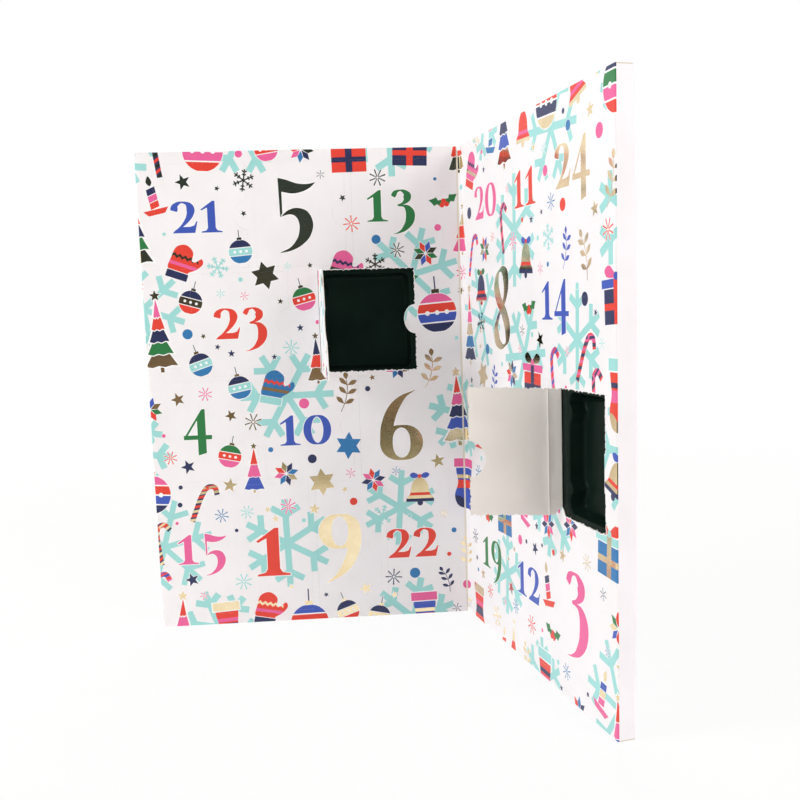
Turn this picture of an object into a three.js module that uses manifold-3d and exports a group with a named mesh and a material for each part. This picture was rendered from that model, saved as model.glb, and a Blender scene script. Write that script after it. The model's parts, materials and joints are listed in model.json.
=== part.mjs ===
// A book-style cardboard advent calendar. Two shallow cartons stand open like a book and are joined by
// a narrow creased spine strip. Each carton has a printed front with perforated doors, a back shell with
// side walls, two tuck flaps that close its ends, and a vacuum-formed tray with a pocket for each door.
//
// Millimetres, +Z up. A half is drawn in a frame of its own, seen from its printed side: x runs from its
// left edge to its right, y from the printed face into the carton, z up from the surface it stands on.
import * as THREE from 'three';
import { mergeVertices } from 'three/addons/utils/BufferGeometryUtils.js';
import Module from 'manifold-3d';

// The cartons, and the angle between the two printed faces
const panelHeight = 350;
const panelWidth = 232;
const cartonDepth = 10.6;
const edgeBulge = 2.1;
const backBulge = 1.9;
const shellCornerRadius = 1.4;
const board = 0.5;
const fitGap = 0.3;
const openAngleDegrees = 101.5;

// The spine strip: from fold line to fold line, and how much shorter it is at each end
const spineWidth = 3.2;
const spineEndCut = 3;
const spineCornerRadius = 0.8;

// The frame left round and between the doors, which fill the rest of the panel
const endMargin = 8;
const threeDoorMargin = 12;
const fourDoorMargin = 12.5;
const rowGap = 3.5;
const columnGap = 5;
const pairMargin = 34;
const pairGap = 22;
const tallDoorHeight = 98.5;
const mediumDoor = 54;
const hingeLift = 0.15;

// The finger tab that stays in the frame, and the score line where a door folds a second time
const tabRadius = 11;
const tabSetBack = 1.5;
const scoreOffset = 7.4;
const scoreWidth = 0.7;
const scoreDepth = 0.18;

// The tray, whose pockets are a little smaller than the doors; it is glued in a little out of line with them
const traySheet = 0.4;
const trayCornerRadius = 4;
const trayEndMargin = 2;
const pocketNarrowing = 5.5;
const pocketShortening = 4.5;
const pocketAcross = { left: 2, right: 9.5 };
const pocketUp = { left: 1.5, right: 3 };
const pocketDraft = 1.3;
const pocketCornerRadius = 6;
const pocketFloorRadius = 1.8;

// The tongues of the tuck flaps, and the dust flaps folded in under them
const tongueLength = 9;
const tongueTaper = 5;
const tongueMargin = 12;
const dustFlapLength = 26;
const dustFlapTaper = 2;

// Steps of the round and bowed stretches, and how far a cutter runs past what it cuts
const arcSteps = 8;
const cornerSteps = 3;
const floorSteps = 2;
const heightSteps = 8;
const widthSteps = 8;
const cutterOverrun = 1;

// Three rows share the height that the tall row leaves, and the doors of a row share its width
const doorHeight = (panelHeight - 2 * endMargin - tallDoorHeight - 3 * rowGap) / 3;
const wideDoor = (panelWidth - 2 * threeDoorMargin - 2 * columnGap) / 3;
const pairDoor = (panelWidth - 2 * pairMargin - pairGap) / 2;
const fourDoorsWidth = panelWidth - 2 * fourDoorMargin - 3 * columnGap;
const narrowDoor = fourDoorsWidth / 4;
const slimDoor = (fourDoorsWidth - mediumDoor) / 3;

// The rows of doors of each half from the bottom up, each row's doors from left to right
const doorRows = {
  left: [
    { numbers: [15, 1, 9, 22], widths: Array(4).fill(narrowDoor), gap: columnGap, height: tallDoorHeight },
    { numbers: [4, 10, 6], widths: Array(3).fill(wideDoor), gap: columnGap, height: doorHeight },
    { numbers: [23, 17], widths: Array(2).fill(pairDoor), gap: pairGap, height: doorHeight },
    { numbers: [21, 5, 13], widths: Array(3).fill(wideDoor), gap: columnGap, height: doorHeight },
  ],
  right: [
    { numbers: [19, 12, 3], widths: Array(3).fill(wideDoor), gap: columnGap, height: tallDoorHeight },
    {
      numbers: [16, 7, 18, 2],
      widths: [...Array(3).fill(slimDoor), mediumDoor],
      gap: columnGap,
      height: doorHeight,
    },
    { numbers: [8, 14], widths: Array(2).fill(pairDoor), gap: pairGap, height: doorHeight },
    { numbers: [20, 11, 24], widths: Array(3).fill(wideDoor), gap: columnGap, height: doorHeight },
  ],
};
// How far the two opened doors stand open; all the others are shut
const openDoorDegrees = { 17: 85, 2: 101 };

const degrees = Math.PI / 180;
const foldTurn = (180 - openAngleDegrees) * degrees;
const innerFace = board + fitGap;
const tuckBack = cartonDepth - board - fitGap;
const pocketFloor = tuckBack - traySheet;

const wasm = await Module();
wasm.setup();

function solidOf(geometry) {
  const bare = geometry.clone();
  bare.deleteAttribute('normal');
  bare.deleteAttribute('uv');
  const merged = mergeVertices(bare);
  return new wasm.Manifold(
    new wasm.Mesh({
      numProp: 3,
      vertProperties: Float32Array.from(merged.attributes.position.array),
      triVerts: Uint32Array.from(merged.index.array),
    }),
  );
}

function geometryOf(solid) {
  const mesh = solid.getMesh();
  const geometry = new THREE.BufferGeometry();
  geometry.setAttribute('position', new THREE.BufferAttribute(mesh.vertProperties, 3));
  geometry.setIndex(new THREE.BufferAttribute(mesh.triVerts, 1));
  geometry.computeVertexNormals();
  return geometry;
}

function joined(geometries) {
  return geometries.map(solidOf).reduce((whole, solid) => whole.add(solid));
}

// An outline in the x-y plane, standing up from z = bottom
function standing(shape, bottom, height) {
  const geometry = new THREE.ExtrudeGeometry(shape, { depth: height, bevelEnabled: false });
  return geometry.translate(0, 0, bottom);
}

// A sheet cut to an outline in the x-z plane, from y = front to y = front + thickness
function sheet(shape, front, thickness) {
  const geometry = new THREE.ExtrudeGeometry(shape, {
    depth: thickness,
    bevelEnabled: false,
    curveSegments: arcSteps,
  });
  return geometry.rotateX(Math.PI / 2).translate(0, front + thickness, 0);
}

function polygon(points) {
  return new THREE.Shape(points.map(([across, along]) => new THREE.Vector2(across, along)));
}

// A rectangle with round corners, anticlockwise from its bottom right corner
function roundedPoints(left, bottom, right, top, radius) {
  const corners = [
    [right - radius, bottom + radius, -90],
    [right - radius, top - radius, 0],
    [left + radius, top - radius, 90],
    [left + radius, bottom + radius, 180],
  ];
  return corners.flatMap(([x, z, start]) =>
    Array.from({ length: cornerSteps + 1 }, (_, step) => {
      const angle = (start + (90 * step) / cornerSteps) * degrees;
      return new THREE.Vector2(x + radius * Math.cos(angle), z + radius * Math.sin(angle));
    }),
  );
}

// A closed body through rings of points that all turn the same way; flatten drops the third direction
function loft(rings, flatten) {
  const count = rings[0].length;
  const last = (rings.length - 1) * count;
  const index = [];
  for (let start = 0; start < last; start += count) {
    for (let step = 0; step < count; step += 1) {
      const a = start + step;
      const b = start + ((step + 1) % count);
      index.push(a, b, b + count, a, b + count, a + count);
    }
  }
  for (const [a, b, c] of THREE.ShapeUtils.triangulateShape(rings[0].map(flatten), [])) {
    index.push(c, b, a, last + a, last + b, last + c);
  }
  const geometry = new THREE.BufferGeometry().setFromPoints(rings.flat());
  geometry.setIndex(index);
  geometry.computeVertexNormals();
  return geometry;
}

// Every door of a half, with its hinge edge, free edge, bottom and top
function layOut(rows) {
  const doors = [];
  let bottom = endMargin;
  for (const { numbers, widths, gap, height } of rows) {
    const rowWidth = widths.reduce((sum, width) => sum + width, gap * (widths.length - 1));
    let hinge = (panelWidth - rowWidth) / 2;
    widths.forEach((width, place) => {
      doors.push({ number: numbers[place], hinge, free: hinge + width, bottom, top: bottom + height });
      hinge += width + gap;
    });
    bottom += height + rowGap;
  }
  return doors;
}

// With no inset this is the opening in the frame, round its finger tab; with one, the door in it
function traceDoor(path, door, inset) {
  const free = door.free - inset;
  const tabCentre = door.free + tabSetBack;
  const middle = (door.bottom + door.top) / 2;
  const radius = tabRadius + inset;
  const swing = Math.acos((tabCentre - free) / radius);
  path.moveTo(door.hinge + inset, door.bottom + inset);
  path.lineTo(free, door.bottom + inset);
  path.absarc(tabCentre, middle, radius, Math.PI + swing, Math.PI - swing, true);
  path.lineTo(free, door.top - inset);
  path.lineTo(door.hinge + inset, door.top - inset);
  path.closePath();
  return path;
}

function frontPanel(doors) {
  const corners = [
    [0, 0],
    [panelWidth, 0],
    [panelWidth, panelHeight],
    [0, panelHeight],
  ];
  const panel = solidOf(sheet(polygon(corners), 0, board));
  const cutterDepth = board + 2 * cutterOverrun;
  const openings = doors.map((door) =>
    sheet(traceDoor(new THREE.Shape(), door, 0), -cutterOverrun, cutterDepth),
  );
  return geometryOf(panel.subtract(joined(openings)));
}

function doorLeaf(door) {
  const leaf = sheet(traceDoor(new THREE.Shape(), door, fitGap), 0, board);
  const groove = polygon([
    [-scoreWidth / 2, cutterOverrun],
    [-scoreWidth / 2, 0],
    [0, -scoreDepth],
    [scoreWidth / 2, 0],
    [scoreWidth / 2, cutterOverrun],
  ]);
  const cutter = standing(groove, door.bottom - cutterOverrun, door.top - door.bottom + 2 * cutterOverrun);
  cutter.translate(door.hinge + scoreOffset, board, 0);
  return geometryOf(solidOf(leaf).subtract(solidOf(cutter)));
}

// Half of the shell's section at a height, inset from its outer face, from the left wall round to the right
function shellPath(z, inset) {
  const bow = 1 - ((2 * z) / panelHeight - 1) ** 2;
  const back = cartonDepth + edgeBulge * bow;
  const radius = shellCornerRadius - inset;
  const centre = back - shellCornerRadius;
  const halfFlat = panelWidth / 2 - shellCornerRadius;
  const path = [[inset, innerFace]];
  for (let step = 0; step <= cornerSteps; step += 1) {
    const angle = ((90 * step) / cornerSteps) * degrees;
    path.push([shellCornerRadius - radius * Math.cos(angle), centre + radius * Math.sin(angle)]);
  }
  for (let step = 1; step < widthSteps; step += 1) {
    const across = (2 * step) / widthSteps - 1;
    const bulge = backBulge * bow * (1 - across ** 2);
    path.push([panelWidth / 2 + halfFlat * across, back + bulge - inset]);
  }
  for (let step = cornerSteps; step >= 0; step -= 1) {
    const angle = ((90 * step) / cornerSteps) * degrees;
    path.push([panelWidth - shellCornerRadius + radius * Math.cos(angle), centre + radius * Math.sin(angle)]);
  }
  path.push([panelWidth - inset, innerFace]);
  return path.map(([x, y]) => new THREE.Vector3(x, y, z));
}

function dustFlap(bottom) {
  const root = board / 2;
  const far = tuckBack - board - fitGap;
  const outline = polygon([
    [root, innerFace],
    [dustFlapLength, innerFace + dustFlapTaper],
    [dustFlapLength, far - dustFlapTaper],
    [root, far],
  ]);
  return standing(outline, bottom, board);
}

function backShell() {
  const rings = Array.from({ length: heightSteps + 1 }, (_, step) => {
    const z = (panelHeight * step) / heightSteps;
    return [...shellPath(z, board), ...shellPath(z, 0).reverse()];
  });
  const shell = loft(rings, (point) => new THREE.Vector2(point.x, point.y));
  const flaps = [innerFace, panelHeight - innerFace - board].flatMap((bottom) => [
    dustFlap(bottom),
    dustFlap(-bottom - board).rotateY(Math.PI).translate(panelWidth, 0, 0),
  ]);
  return geometryOf(joined([shell, ...flaps]));
}

// The bottom tuck flap: a plate between the walls, and a tongue tucked in front of the back
function tuckFlap() {
  const left = innerFace;
  const right = panelWidth - innerFace;
  const plate = new THREE.Shape();
  plate.moveTo(left, innerFace);
  plate.lineTo(right, innerFace);
  const turn = Math.PI / 2;
  const cornerDepth = tuckBack - shellCornerRadius;
  plate.absarc(right - shellCornerRadius, cornerDepth, shellCornerRadius, 0, turn);
  plate.absarc(left + shellCornerRadius, cornerDepth, shellCornerRadius, turn, 2 * turn);
  plate.closePath();
  const root = board / 2;
  const tip = board + tongueLength;
  const tongue = polygon([
    [tongueMargin, root],
    [panelWidth - tongueMargin, root],
    [panelWidth - tongueMargin - tongueTaper, tip],
    [tongueMargin + tongueTaper, tip],
  ]);
  return geometryOf(joined([standing(plate, 0, board), sheet(tongue, tuckBack - board, board)]));
}

// A pocket's body as rings from its floor out to y = front, grown all round by the sheet or by nothing
function pocketBody(side, door, grow, front) {
  const left = door.hinge + pocketAcross[side];
  const bottom = door.bottom + pocketUp[side];
  const right = left + door.free - door.hinge - pocketNarrowing;
  const top = bottom + door.top - door.bottom - pocketShortening;
  const centre = pocketFloor - pocketFloorRadius;
  const radius = pocketFloorRadius + grow;
  const ring = (y, inset) => {
    const points = roundedPoints(
      left + inset,
      bottom + inset,
      right - inset,
      top - inset,
      pocketCornerRadius - inset,
    );
    return points.map((point) => new THREE.Vector3(point.x, y, point.y));
  };
  const rings = Array.from({ length: floorSteps + 1 }, (_, step) => {
    const angle = ((90 * step) / floorSteps) * degrees;
    const y = centre + radius * Math.cos(angle);
    return ring(y, pocketDraft + pocketFloorRadius - radius * Math.sin(angle));
  });
  rings.push(ring(front, -grow));
  return loft(rings, (point) => new THREE.Vector2(point.x, point.z));
}

function tray(side, doors) {
  const outline = new THREE.Shape(
    roundedPoints(
      innerFace,
      trayEndMargin,
      panelWidth - innerFace,
      panelHeight - trayEndMargin,
      trayCornerRadius,
    ),
  );
  const skin = doors.map((door) => pocketBody(side, door, traySheet, innerFace + traySheet / 2));
  const hollows = doors.map((door) => pocketBody(side, door, 0, innerFace - cutterOverrun));
  const sheetAndSkin = joined([sheet(outline, innerFace, traySheet), ...skin]);
  return geometryOf(sheetAndSkin.subtract(joined(hollows)));
}

function spineStrip() {
  const outline = roundedPoints(
    fitGap / 2,
    spineEndCut,
    spineWidth - fitGap / 2,
    panelHeight - spineEndCut,
    spineCornerRadius,
  );
  return sheet(new THREE.Shape(outline), 0, board);
}

const finishes = {
  print: { color: 0xeee8e8, roughness: 0.45, metalness: 0 },
  door: { color: 0xf4e4e0, roughness: 0.5, metalness: 0 },
  shell: { color: 0xf5f0f3, roughness: 0.55, metalness: 0 },
  flap: { color: 0xe6dccf, roughness: 0.75, metalness: 0 },
  tray: { color: 0x0f1c19, roughness: 0.22, metalness: 0 },
};

function piece(name, geometry, finish) {
  const mesh = new THREE.Mesh(geometry, new THREE.MeshStandardMaterial(finishes[finish]));
  mesh.name = name;
  return mesh;
}

// A door hung on its fold line, which lies just in front of the printed face
function hungDoor(door) {
  const leaf = piece(`door_${String(door.number).padStart(2, '0')}`, doorLeaf(door), 'door');
  const hinge = new THREE.Group();
  hinge.position.set(door.hinge + fitGap / 2, -hingeLift, 0);
  hinge.rotation.z = -(openDoorDegrees[door.number] ?? 0) * degrees;
  leaf.position.copy(hinge.position).negate();
  hinge.add(leaf);
  return hinge;
}

function half(side) {
  const doors = layOut(doorRows[side]);
  const topFlap = tuckFlap().rotateY(Math.PI).translate(panelWidth, 0, panelHeight);
  return new THREE.Group().add(
    piece(`${side}_front_panel`, frontPanel(doors), 'print'),
    piece(`${side}_back_shell`, backShell(), 'shell'),
    piece(`${side}_bottom_flap`, tuckFlap(), 'flap'),
    piece(`${side}_top_flap`, topFlap, 'flap'),
    piece(`${side}_tray`, tray(side, doors), 'tray'),
    ...doors.map(hungDoor),
  );
}

// The left half lies along x with its fold line at the origin; the strip and the right half turn from it
function openBook() {
  const left = half('left');
  left.position.x = -panelWidth - fitGap / 2;
  const strip = piece('spine_strip', spineStrip(), 'print');
  const right = half('right');
  right.position.x = fitGap / 2;
  const firstFold = new THREE.Group().add(strip);
  firstFold.rotation.z = -foldTurn / 2;
  const secondFold = new THREE.Group().add(right);
  secondFold.position.x = spineWidth;
  secondFold.rotation.z = -foldTurn / 2;
  firstFold.add(secondFold);
  return new THREE.Group().add(left, firstFold);
}

// The origin is on the surface the calendar stands on, under the middle of its box
const calendar = openBook();
const box = new THREE.Box3().setFromObject(calendar, true);
const middle = box.getCenter(new THREE.Vector3());
calendar.position.set(-middle.x, -middle.y, -box.min.z);

export default calendar;
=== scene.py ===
"""Looks of a cardboard advent calendar: printed sheets and doors, trays, plain board and the studio."""

import json
import logging
import math
import random
from collections.abc import Callable, Sequence
from dataclasses import dataclass, field
from enum import Enum

import bpy
import numpy as np
from mathutils import Matrix, Vector
from mathutils.geometry import delaunay_2d_cdt


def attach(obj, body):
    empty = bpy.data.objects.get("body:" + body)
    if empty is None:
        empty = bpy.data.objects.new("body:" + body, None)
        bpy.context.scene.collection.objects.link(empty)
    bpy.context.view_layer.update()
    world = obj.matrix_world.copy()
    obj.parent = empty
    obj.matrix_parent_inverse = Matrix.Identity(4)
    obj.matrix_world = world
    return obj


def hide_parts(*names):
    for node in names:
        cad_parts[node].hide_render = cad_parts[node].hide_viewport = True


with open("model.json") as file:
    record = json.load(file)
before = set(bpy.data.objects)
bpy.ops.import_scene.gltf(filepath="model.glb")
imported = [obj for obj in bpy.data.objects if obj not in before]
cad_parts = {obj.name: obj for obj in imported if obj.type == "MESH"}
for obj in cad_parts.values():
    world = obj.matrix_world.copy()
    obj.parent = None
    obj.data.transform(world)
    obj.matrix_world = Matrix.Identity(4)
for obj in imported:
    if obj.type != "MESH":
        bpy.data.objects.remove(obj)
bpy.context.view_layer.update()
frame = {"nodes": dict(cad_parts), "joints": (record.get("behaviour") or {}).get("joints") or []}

log = logging.getLogger("calendar")

MM = 0.001
FULL_TURN = 2 * math.pi
TINY = 1e-9
MERGE_REACH = 1e-4
FINE_LINE = 0.03

Colour = tuple[float, float, float]
Circle = tuple[float, float, float]
Bend = Callable[[np.ndarray, np.ndarray, np.ndarray], tuple[np.ndarray, np.ndarray, np.ndarray]]


class Ink(Enum):
    """What a face of a printed sheet shows."""

    BOARD = 0
    KEYLINE = 1
    TURQUOISE = 2
    CORAL = 3
    PINK = 4
    ROYAL = 5
    BLUE = 6
    NAVY = 7
    GREEN = 8
    FOIL = 9
    INSIDE = 10
    EDGE = 11
    # Beige line along the left fold: partly the bared crease, partly painted shade of the concave fold.
    CREASE = 12


INK_LETTERS = {
    "c": Ink.CORAL, "p": Ink.PINK, "n": Ink.NAVY, "r": Ink.ROYAL, "b": Ink.BLUE, "g": Ink.GREEN,
    "f": Ink.FOIL, "t": Ink.TURQUOISE,
}


class Half(Enum):
    """The two cartons."""

    LEFT = "left"
    RIGHT = "right"


def linear(colour: Colour) -> tuple[float, float, float, float]:
    """Turns a colour as seen on screen into the linear one that a shader takes.

    Args:
        colour: Red, green and blue from 0 to 255, as on screen.

    Returns:
        The linear colour with an alpha of 1.
    """
    shares = [c / 255 for c in colour]
    steps = [s / 12.92 if s <= 0.04045 else ((s + 0.055) / 1.055) ** 2.4 for s in shares]
    return (*steps, 1.0)


def inks_of(letters: str) -> tuple[Ink, ...]:
    """The inks that the letters of a word stand for."""
    return tuple(INK_LETTERS[letter] for letter in letters)


def fold_place(side: str) -> tuple[float, float, float]:
    """Where the left or the right fold of the spine stands, in metres."""
    return {joint["name"]: joint["pos_m"] for joint in frame["joints"]}[f"spine_{side}_fold"]


def add_object(name: str, data: bpy.types.ID) -> bpy.types.Object:
    """Adds an object to the scene."""
    made = bpy.data.objects.new(name, data)
    bpy.context.scene.collection.objects.link(made)
    return made


class Tree:
    """The nodes of a material or of the world."""

    def __init__(self, owner: bpy.types.Material | bpy.types.World) -> None:
        """Starts with no nodes at all."""
        owner.use_nodes = True
        self.tree = owner.node_tree
        self.tree.nodes.clear()

    def put(self, value: object, socket: bpy.types.NodeSocket) -> None:
        """Feeds a socket from another one, or gives it a value of its own."""
        if isinstance(value, bpy.types.NodeSocket):
            self.tree.links.new(value, socket)
        else:
            socket.default_value = value

    def add(
        self, kind: str, inputs: dict[str | int, object] | None = None, **settings: object
    ) -> bpy.types.bpy_prop_collection:
        """Adds a node.

        Args:
            kind: The node's type.
            inputs: What feeds its sockets, each a value or another node's socket.
            settings: Its other settings.

        Returns:
            The node's outputs.
        """
        node = self.tree.nodes.new(kind)
        for key, value in settings.items():
            setattr(node, key, value)
        for key, value in (inputs or {}).items():
            self.put(value, node.inputs[key])
        return node.outputs

    def reckon(self, operation: str, *values: object) -> bpy.types.NodeSocket:
        """Works with one or two values, each a number or a socket."""
        return self.add("ShaderNodeMath", dict(enumerate(values)), operation=operation)[0]

    def seen(self) -> bpy.types.NodeSocket:
        """Gives 1 for a ray that comes from the camera, a mirror or glass, and 0 for any other."""
        path = self.add("ShaderNodeLightPath")
        mirrored = self.reckon("MAXIMUM", path["Is Camera Ray"], path["Is Glossy Ray"])
        return self.reckon("MAXIMUM", mirrored, path["Is Transmission Ray"])

    def mixed(self, share: object, first: object, second: object) -> bpy.types.NodeSocket:
        """Mixes two shaders by a share."""
        return self.add("ShaderNodeMixShader", {0: share, 1: first, 2: second})[0]


class Recipe(Tree):
    """The nodes of one material, with its Principled shader at hand."""

    usual_noise: tuple[float, float] = (0.3, 0.7)

    def __init__(self, name: str) -> None:
        """Starts a material of that name with its shader alone."""
        self.material = bpy.data.materials.new(name)
        super().__init__(self.material)
        shader = self.tree.nodes.new("ShaderNodeBsdfPrincipled")
        self.shader, self.looks = shader.outputs[0], shader.inputs
        self.surface = self.tree.nodes.new("ShaderNodeOutputMaterial").inputs["Surface"]
        self.put(self.shader, self.surface)
        self.place = self.add("ShaderNodeTexCoord")["Object"]

    def part(self, vector: bpy.types.NodeSocket, axis: str) -> bpy.types.NodeSocket:
        """One part of a vector."""
        return self.add("ShaderNodeSeparateXYZ", {0: vector})[axis]

    def noise(self, per_metre: float, detail: float) -> bpy.types.NodeSocket:
        """Adds fractal noise laid over the object, by its bumps in a metre and its finer layers."""
        return self.add(
            "ShaderNodeTexNoise", {"Scale": per_metre, "Detail": detail, "Vector": self.place}
        )["Fac"]

    def ranged(
        self, value: object, start: float, end: float, low: float = 0.0, high: float = 1.0, **settings: str
    ) -> bpy.types.NodeSocket:
        """Carries a value from one range to another.

        Args:
            value: The value.
            start: Where its own range starts.
            end: Where it ends.
            low: The result at the start.
            high: The result at the end.
            settings: Other settings of the node.

        Returns:
            The result.
        """
        inputs = {"Value": value, "From Min": start, "From Max": end, "To Min": low, "To Max": high}
        return self.add("ShaderNodeMapRange", inputs, **settings)["Result"]

    def blend(self, share: object, low: object, high: object) -> bpy.types.NodeSocket:
        """Mixes two linear colours by a share."""
        return self.add("ShaderNodeMix", {"Factor": share, 6: low, 7: high}, data_type="RGBA")[2]

    def cloud(self, per_metre: float, detail: float, low: Colour, high: Colour) -> None:
        """Clouds the material's colour.

        Args:
            per_metre: How many clouds lie in a metre.
            detail: How many finer layers they have.
            low: The colour of the one shade, as on screen.
            high: The colour of the other.
        """
        share = self.ranged(self.noise(per_metre, detail), *self.usual_noise)
        self.put(self.blend(share, linear(low), linear(high)), self.looks["Base Color"])

    def rough(self, noise: bpy.types.NodeSocket, low: float, high: float) -> None:
        """Varies the roughness with a noise."""
        self.put(self.ranged(noise, *self.usual_noise, low, high), self.looks["Roughness"])

    def bump(self, height: bpy.types.NodeSocket, depth: float, strength: float) -> None:
        """Raises the surface by a height map.

        Args:
            height: The map.
            depth: How far the map's range reaches, in metres.
            strength: How much of it shows.
        """
        raised = self.add("ShaderNodeBump", {"Distance": depth, "Strength": strength, "Height": height})
        self.put(raised[0], self.looks["Normal"])


@dataclass(frozen=True)
class BoardFinish:
    """Coated or plain board: its colour with a faint cloudiness, a fine grain and a soft shine.

    Attributes:
        name: The material's name.
        colour: The main colour, as on screen.
        cloud: How far the cloudiness darkens the colour, as a share.
        roughness: The middle of the roughness.
        grain: The depth of the paper grain, in metres.
        fibres: How many fibres lie in a metre.
        cloud_scale: How many clouds lie in a metre.
        cloud_detail: How many finer layers the clouds have.
        fibre_detail: How many finer layers the fibres have.
        rough_spread: How far the roughness strays from its middle.
        grain_strength: How much of the grain shows.
    """

    name: str
    colour: Colour
    cloud: float = 0.02
    roughness: float = 0.42
    grain: float = 0.00002
    fibres: float = 1500.0
    cloud_scale: float = 45.0
    cloud_detail: int = 5
    fibre_detail: int = 3
    rough_spread: float = 0.06
    grain_strength: float = 0.35

    def shade(self) -> Colour:
        """The cloudy shade of the colour."""
        return tuple(c * (1 - self.cloud) for c in self.colour)

    def recipe(self) -> Recipe:
        """Mixes the board's colour, roughness and grain.

        Returns:
            The material's recipe.
        """
        recipe = Recipe(self.name)
        recipe.cloud(self.cloud_scale, self.cloud_detail, self.shade(), self.colour)
        fibres = recipe.noise(self.fibres, self.fibre_detail)
        recipe.rough(fibres, self.roughness - self.rough_spread, self.roughness + self.rough_spread)
        recipe.bump(fibres, self.grain, self.grain_strength)
        return recipe

    def material(self) -> bpy.types.Material:
        """The finished material."""
        return self.recipe().material


@dataclass(frozen=True)
class FoilFinish:
    """Gold foil stamped on the board: a mirror that its grain and pressing make a little rough.

    Attributes:
        name: The material's name.
        colour: Its main colour, as on screen.
        shade: The colour of its clouds.
        roughness: Its least and its greatest roughness.
        clouds: How many clouds lie in a metre, and their finer layers.
        grains: The same of its grain.
        ripples: The same of its ripples.
        ripple: How deep the ripples are, in metres.
        ripple_strength: How much of them shows.
    """

    name: str = "gold_foil"
    colour: Colour = (247, 229, 191)
    shade: Colour = (236, 213, 168)
    roughness: tuple[float, float] = (0.1, 0.17)
    clouds: tuple[int, int] = (60, 4)
    grains: tuple[int, int] = (700, 3)
    ripples: tuple[int, int] = (70, 2)
    ripple: float = 0.0001
    ripple_strength: float = 0.5

    def material(self) -> bpy.types.Material:
        """Mixes the foil.

        Returns:
            The finished material.
        """
        recipe = Recipe(self.name)
        recipe.put(1.0, recipe.looks["Metallic"])
        recipe.cloud(*self.clouds, self.shade, self.colour)
        recipe.rough(recipe.noise(*self.grains), *self.roughness)
        recipe.bump(recipe.noise(*self.ripples), self.ripple, self.ripple_strength)
        return recipe.material


@dataclass(frozen=True)
class ShellFinish(BoardFinish):
    """White carton board that shows its raw core where it is cut across at the top and bottom.

    Attributes:
        core: The colour of the core.
        middle: The height of the carton's middle, in metres.
        cut_slopes: How level a face is where the core starts to show and where it shows fully.
        fibre_reach: How far from the middle the core's colour starts to show and shows fully on every face,
            in metres: a thin tan band along the very top and bottom.
    """

    core: Colour = (214, 198, 176)
    middle: float = 0.175
    cut_slopes: tuple[float, float] = (0.9, 0.97)
    fibre_reach: tuple[float, float] = (0.1743, 0.1747)

    def material(self) -> bpy.types.Material:
        """Mixes the board with its cut edges.

        Returns:
            The finished material.
        """
        recipe = self.recipe()
        base = recipe.looks["Base Color"]
        upward = recipe.part(recipe.add("ShaderNodeNewGeometry")["Normal"], "Z")
        cut = recipe.ranged(recipe.reckon("ABSOLUTE", upward), *self.cut_slopes)
        level = recipe.reckon("SUBTRACT", recipe.part(recipe.place, "Z"), self.middle)
        # A thin tan band in the core's colour along the very top and bottom of every face.
        ends = recipe.ranged(recipe.reckon("ABSOLUTE", level), *self.fibre_reach)
        core = recipe.reckon("MAXIMUM", cut, ends)
        recipe.put(recipe.blend(core, base.links[0].from_socket, linear(self.core)), base)
        return recipe.material


@dataclass(frozen=True)
class TrayFinish:
    """Glossy dark sheet plastic, drawn a little uneven by the vacuum forming.

    Attributes:
        name: The material's name.
        colour: Its main colour, as on screen.
        shade: The colour of its clouds.
        roughness: Its least and its greatest roughness.
        clouds: How many clouds lie in a metre, and their finer layers.
        waves: The same of its waves.
        density: How strongly it bends light.
        wave: How deep the waves are, in metres.
        wave_strength: How much of them shows.
    """

    name: str = "tray_plastic"
    colour: Colour = (21, 35, 30)
    shade: Colour = (15, 28, 24)
    roughness: tuple[float, float] = (0.14, 0.24)
    clouds: tuple[int, int] = (35, 3)
    waves: tuple[int, int] = (160, 2)
    density: float = 1.12
    wave: float = 0.00008
    wave_strength: float = 0.4

    def material(self) -> bpy.types.Material:
        """Mixes the plastic.

        Returns:
            The finished material.
        """
        recipe = Recipe(self.name)
        recipe.cloud(*self.clouds, self.shade, self.colour)
        wave = recipe.noise(*self.waves)
        recipe.rough(wave, *self.roughness)
        recipe.put(self.density, recipe.looks["IOR"])
        recipe.bump(wave, self.wave, self.wave_strength)
        return recipe.material


class Wardrobe:
    """Every material, made once and shared."""

    def __init__(self) -> None:
        """Makes the inks, the plain boards and the plastic."""
        coated = {
            Ink.BOARD: (250, 247, 250),
            Ink.KEYLINE: (255, 254, 255),
            Ink.TURQUOISE: (162, 224, 222),
            Ink.CORAL: (236, 62, 44),
            Ink.PINK: (240, 98, 160),
            Ink.ROYAL: (58, 88, 190),
            Ink.BLUE: (42, 122, 184),
            Ink.NAVY: (38, 46, 92),
            Ink.GREEN: (38, 126, 66),
            # Beige of the left fold line: partly the bared crease, partly painted shade of the concave fold.
            Ink.CREASE: (234, 224, 208),
        }
        made = {
            ink: BoardFinish(f"print_{ink.name.lower()}", colour, cloud=0.015).material()
            for ink, colour in coated.items()
        }
        made[Ink.FOIL] = FoilFinish().material()
        made[Ink.INSIDE] = BoardFinish(
            "board_inside", (243, 237, 232), cloud=0.03, roughness=0.75, grain=0.00005
        ).material()
        made[Ink.EDGE] = BoardFinish(
            "board_edge", (244, 238, 230), cloud=0.08, roughness=0.9, grain=0.0001
        ).material()
        self.inks = [made[ink] for ink in Ink]
        self.shell = ShellFinish("carton_white", (250, 246, 253), cloud=0.02).material()
        self.tray = TrayFinish().material()


# Outlines on the flat: every outline is an array of points, across and up, in millimetres


def ring(points: Sequence[Sequence[float]]) -> np.ndarray:
    """Makes an outline an array of points."""
    return np.asarray(points, float).reshape(-1, 2)


def disc(across: float, up: float, radius: float, steps: int = 24) -> np.ndarray:
    """A round outline."""
    angles = np.arange(steps) * FULL_TURN / steps
    return np.c_[across + radius * np.cos(angles), up + radius * np.sin(angles)]


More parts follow.
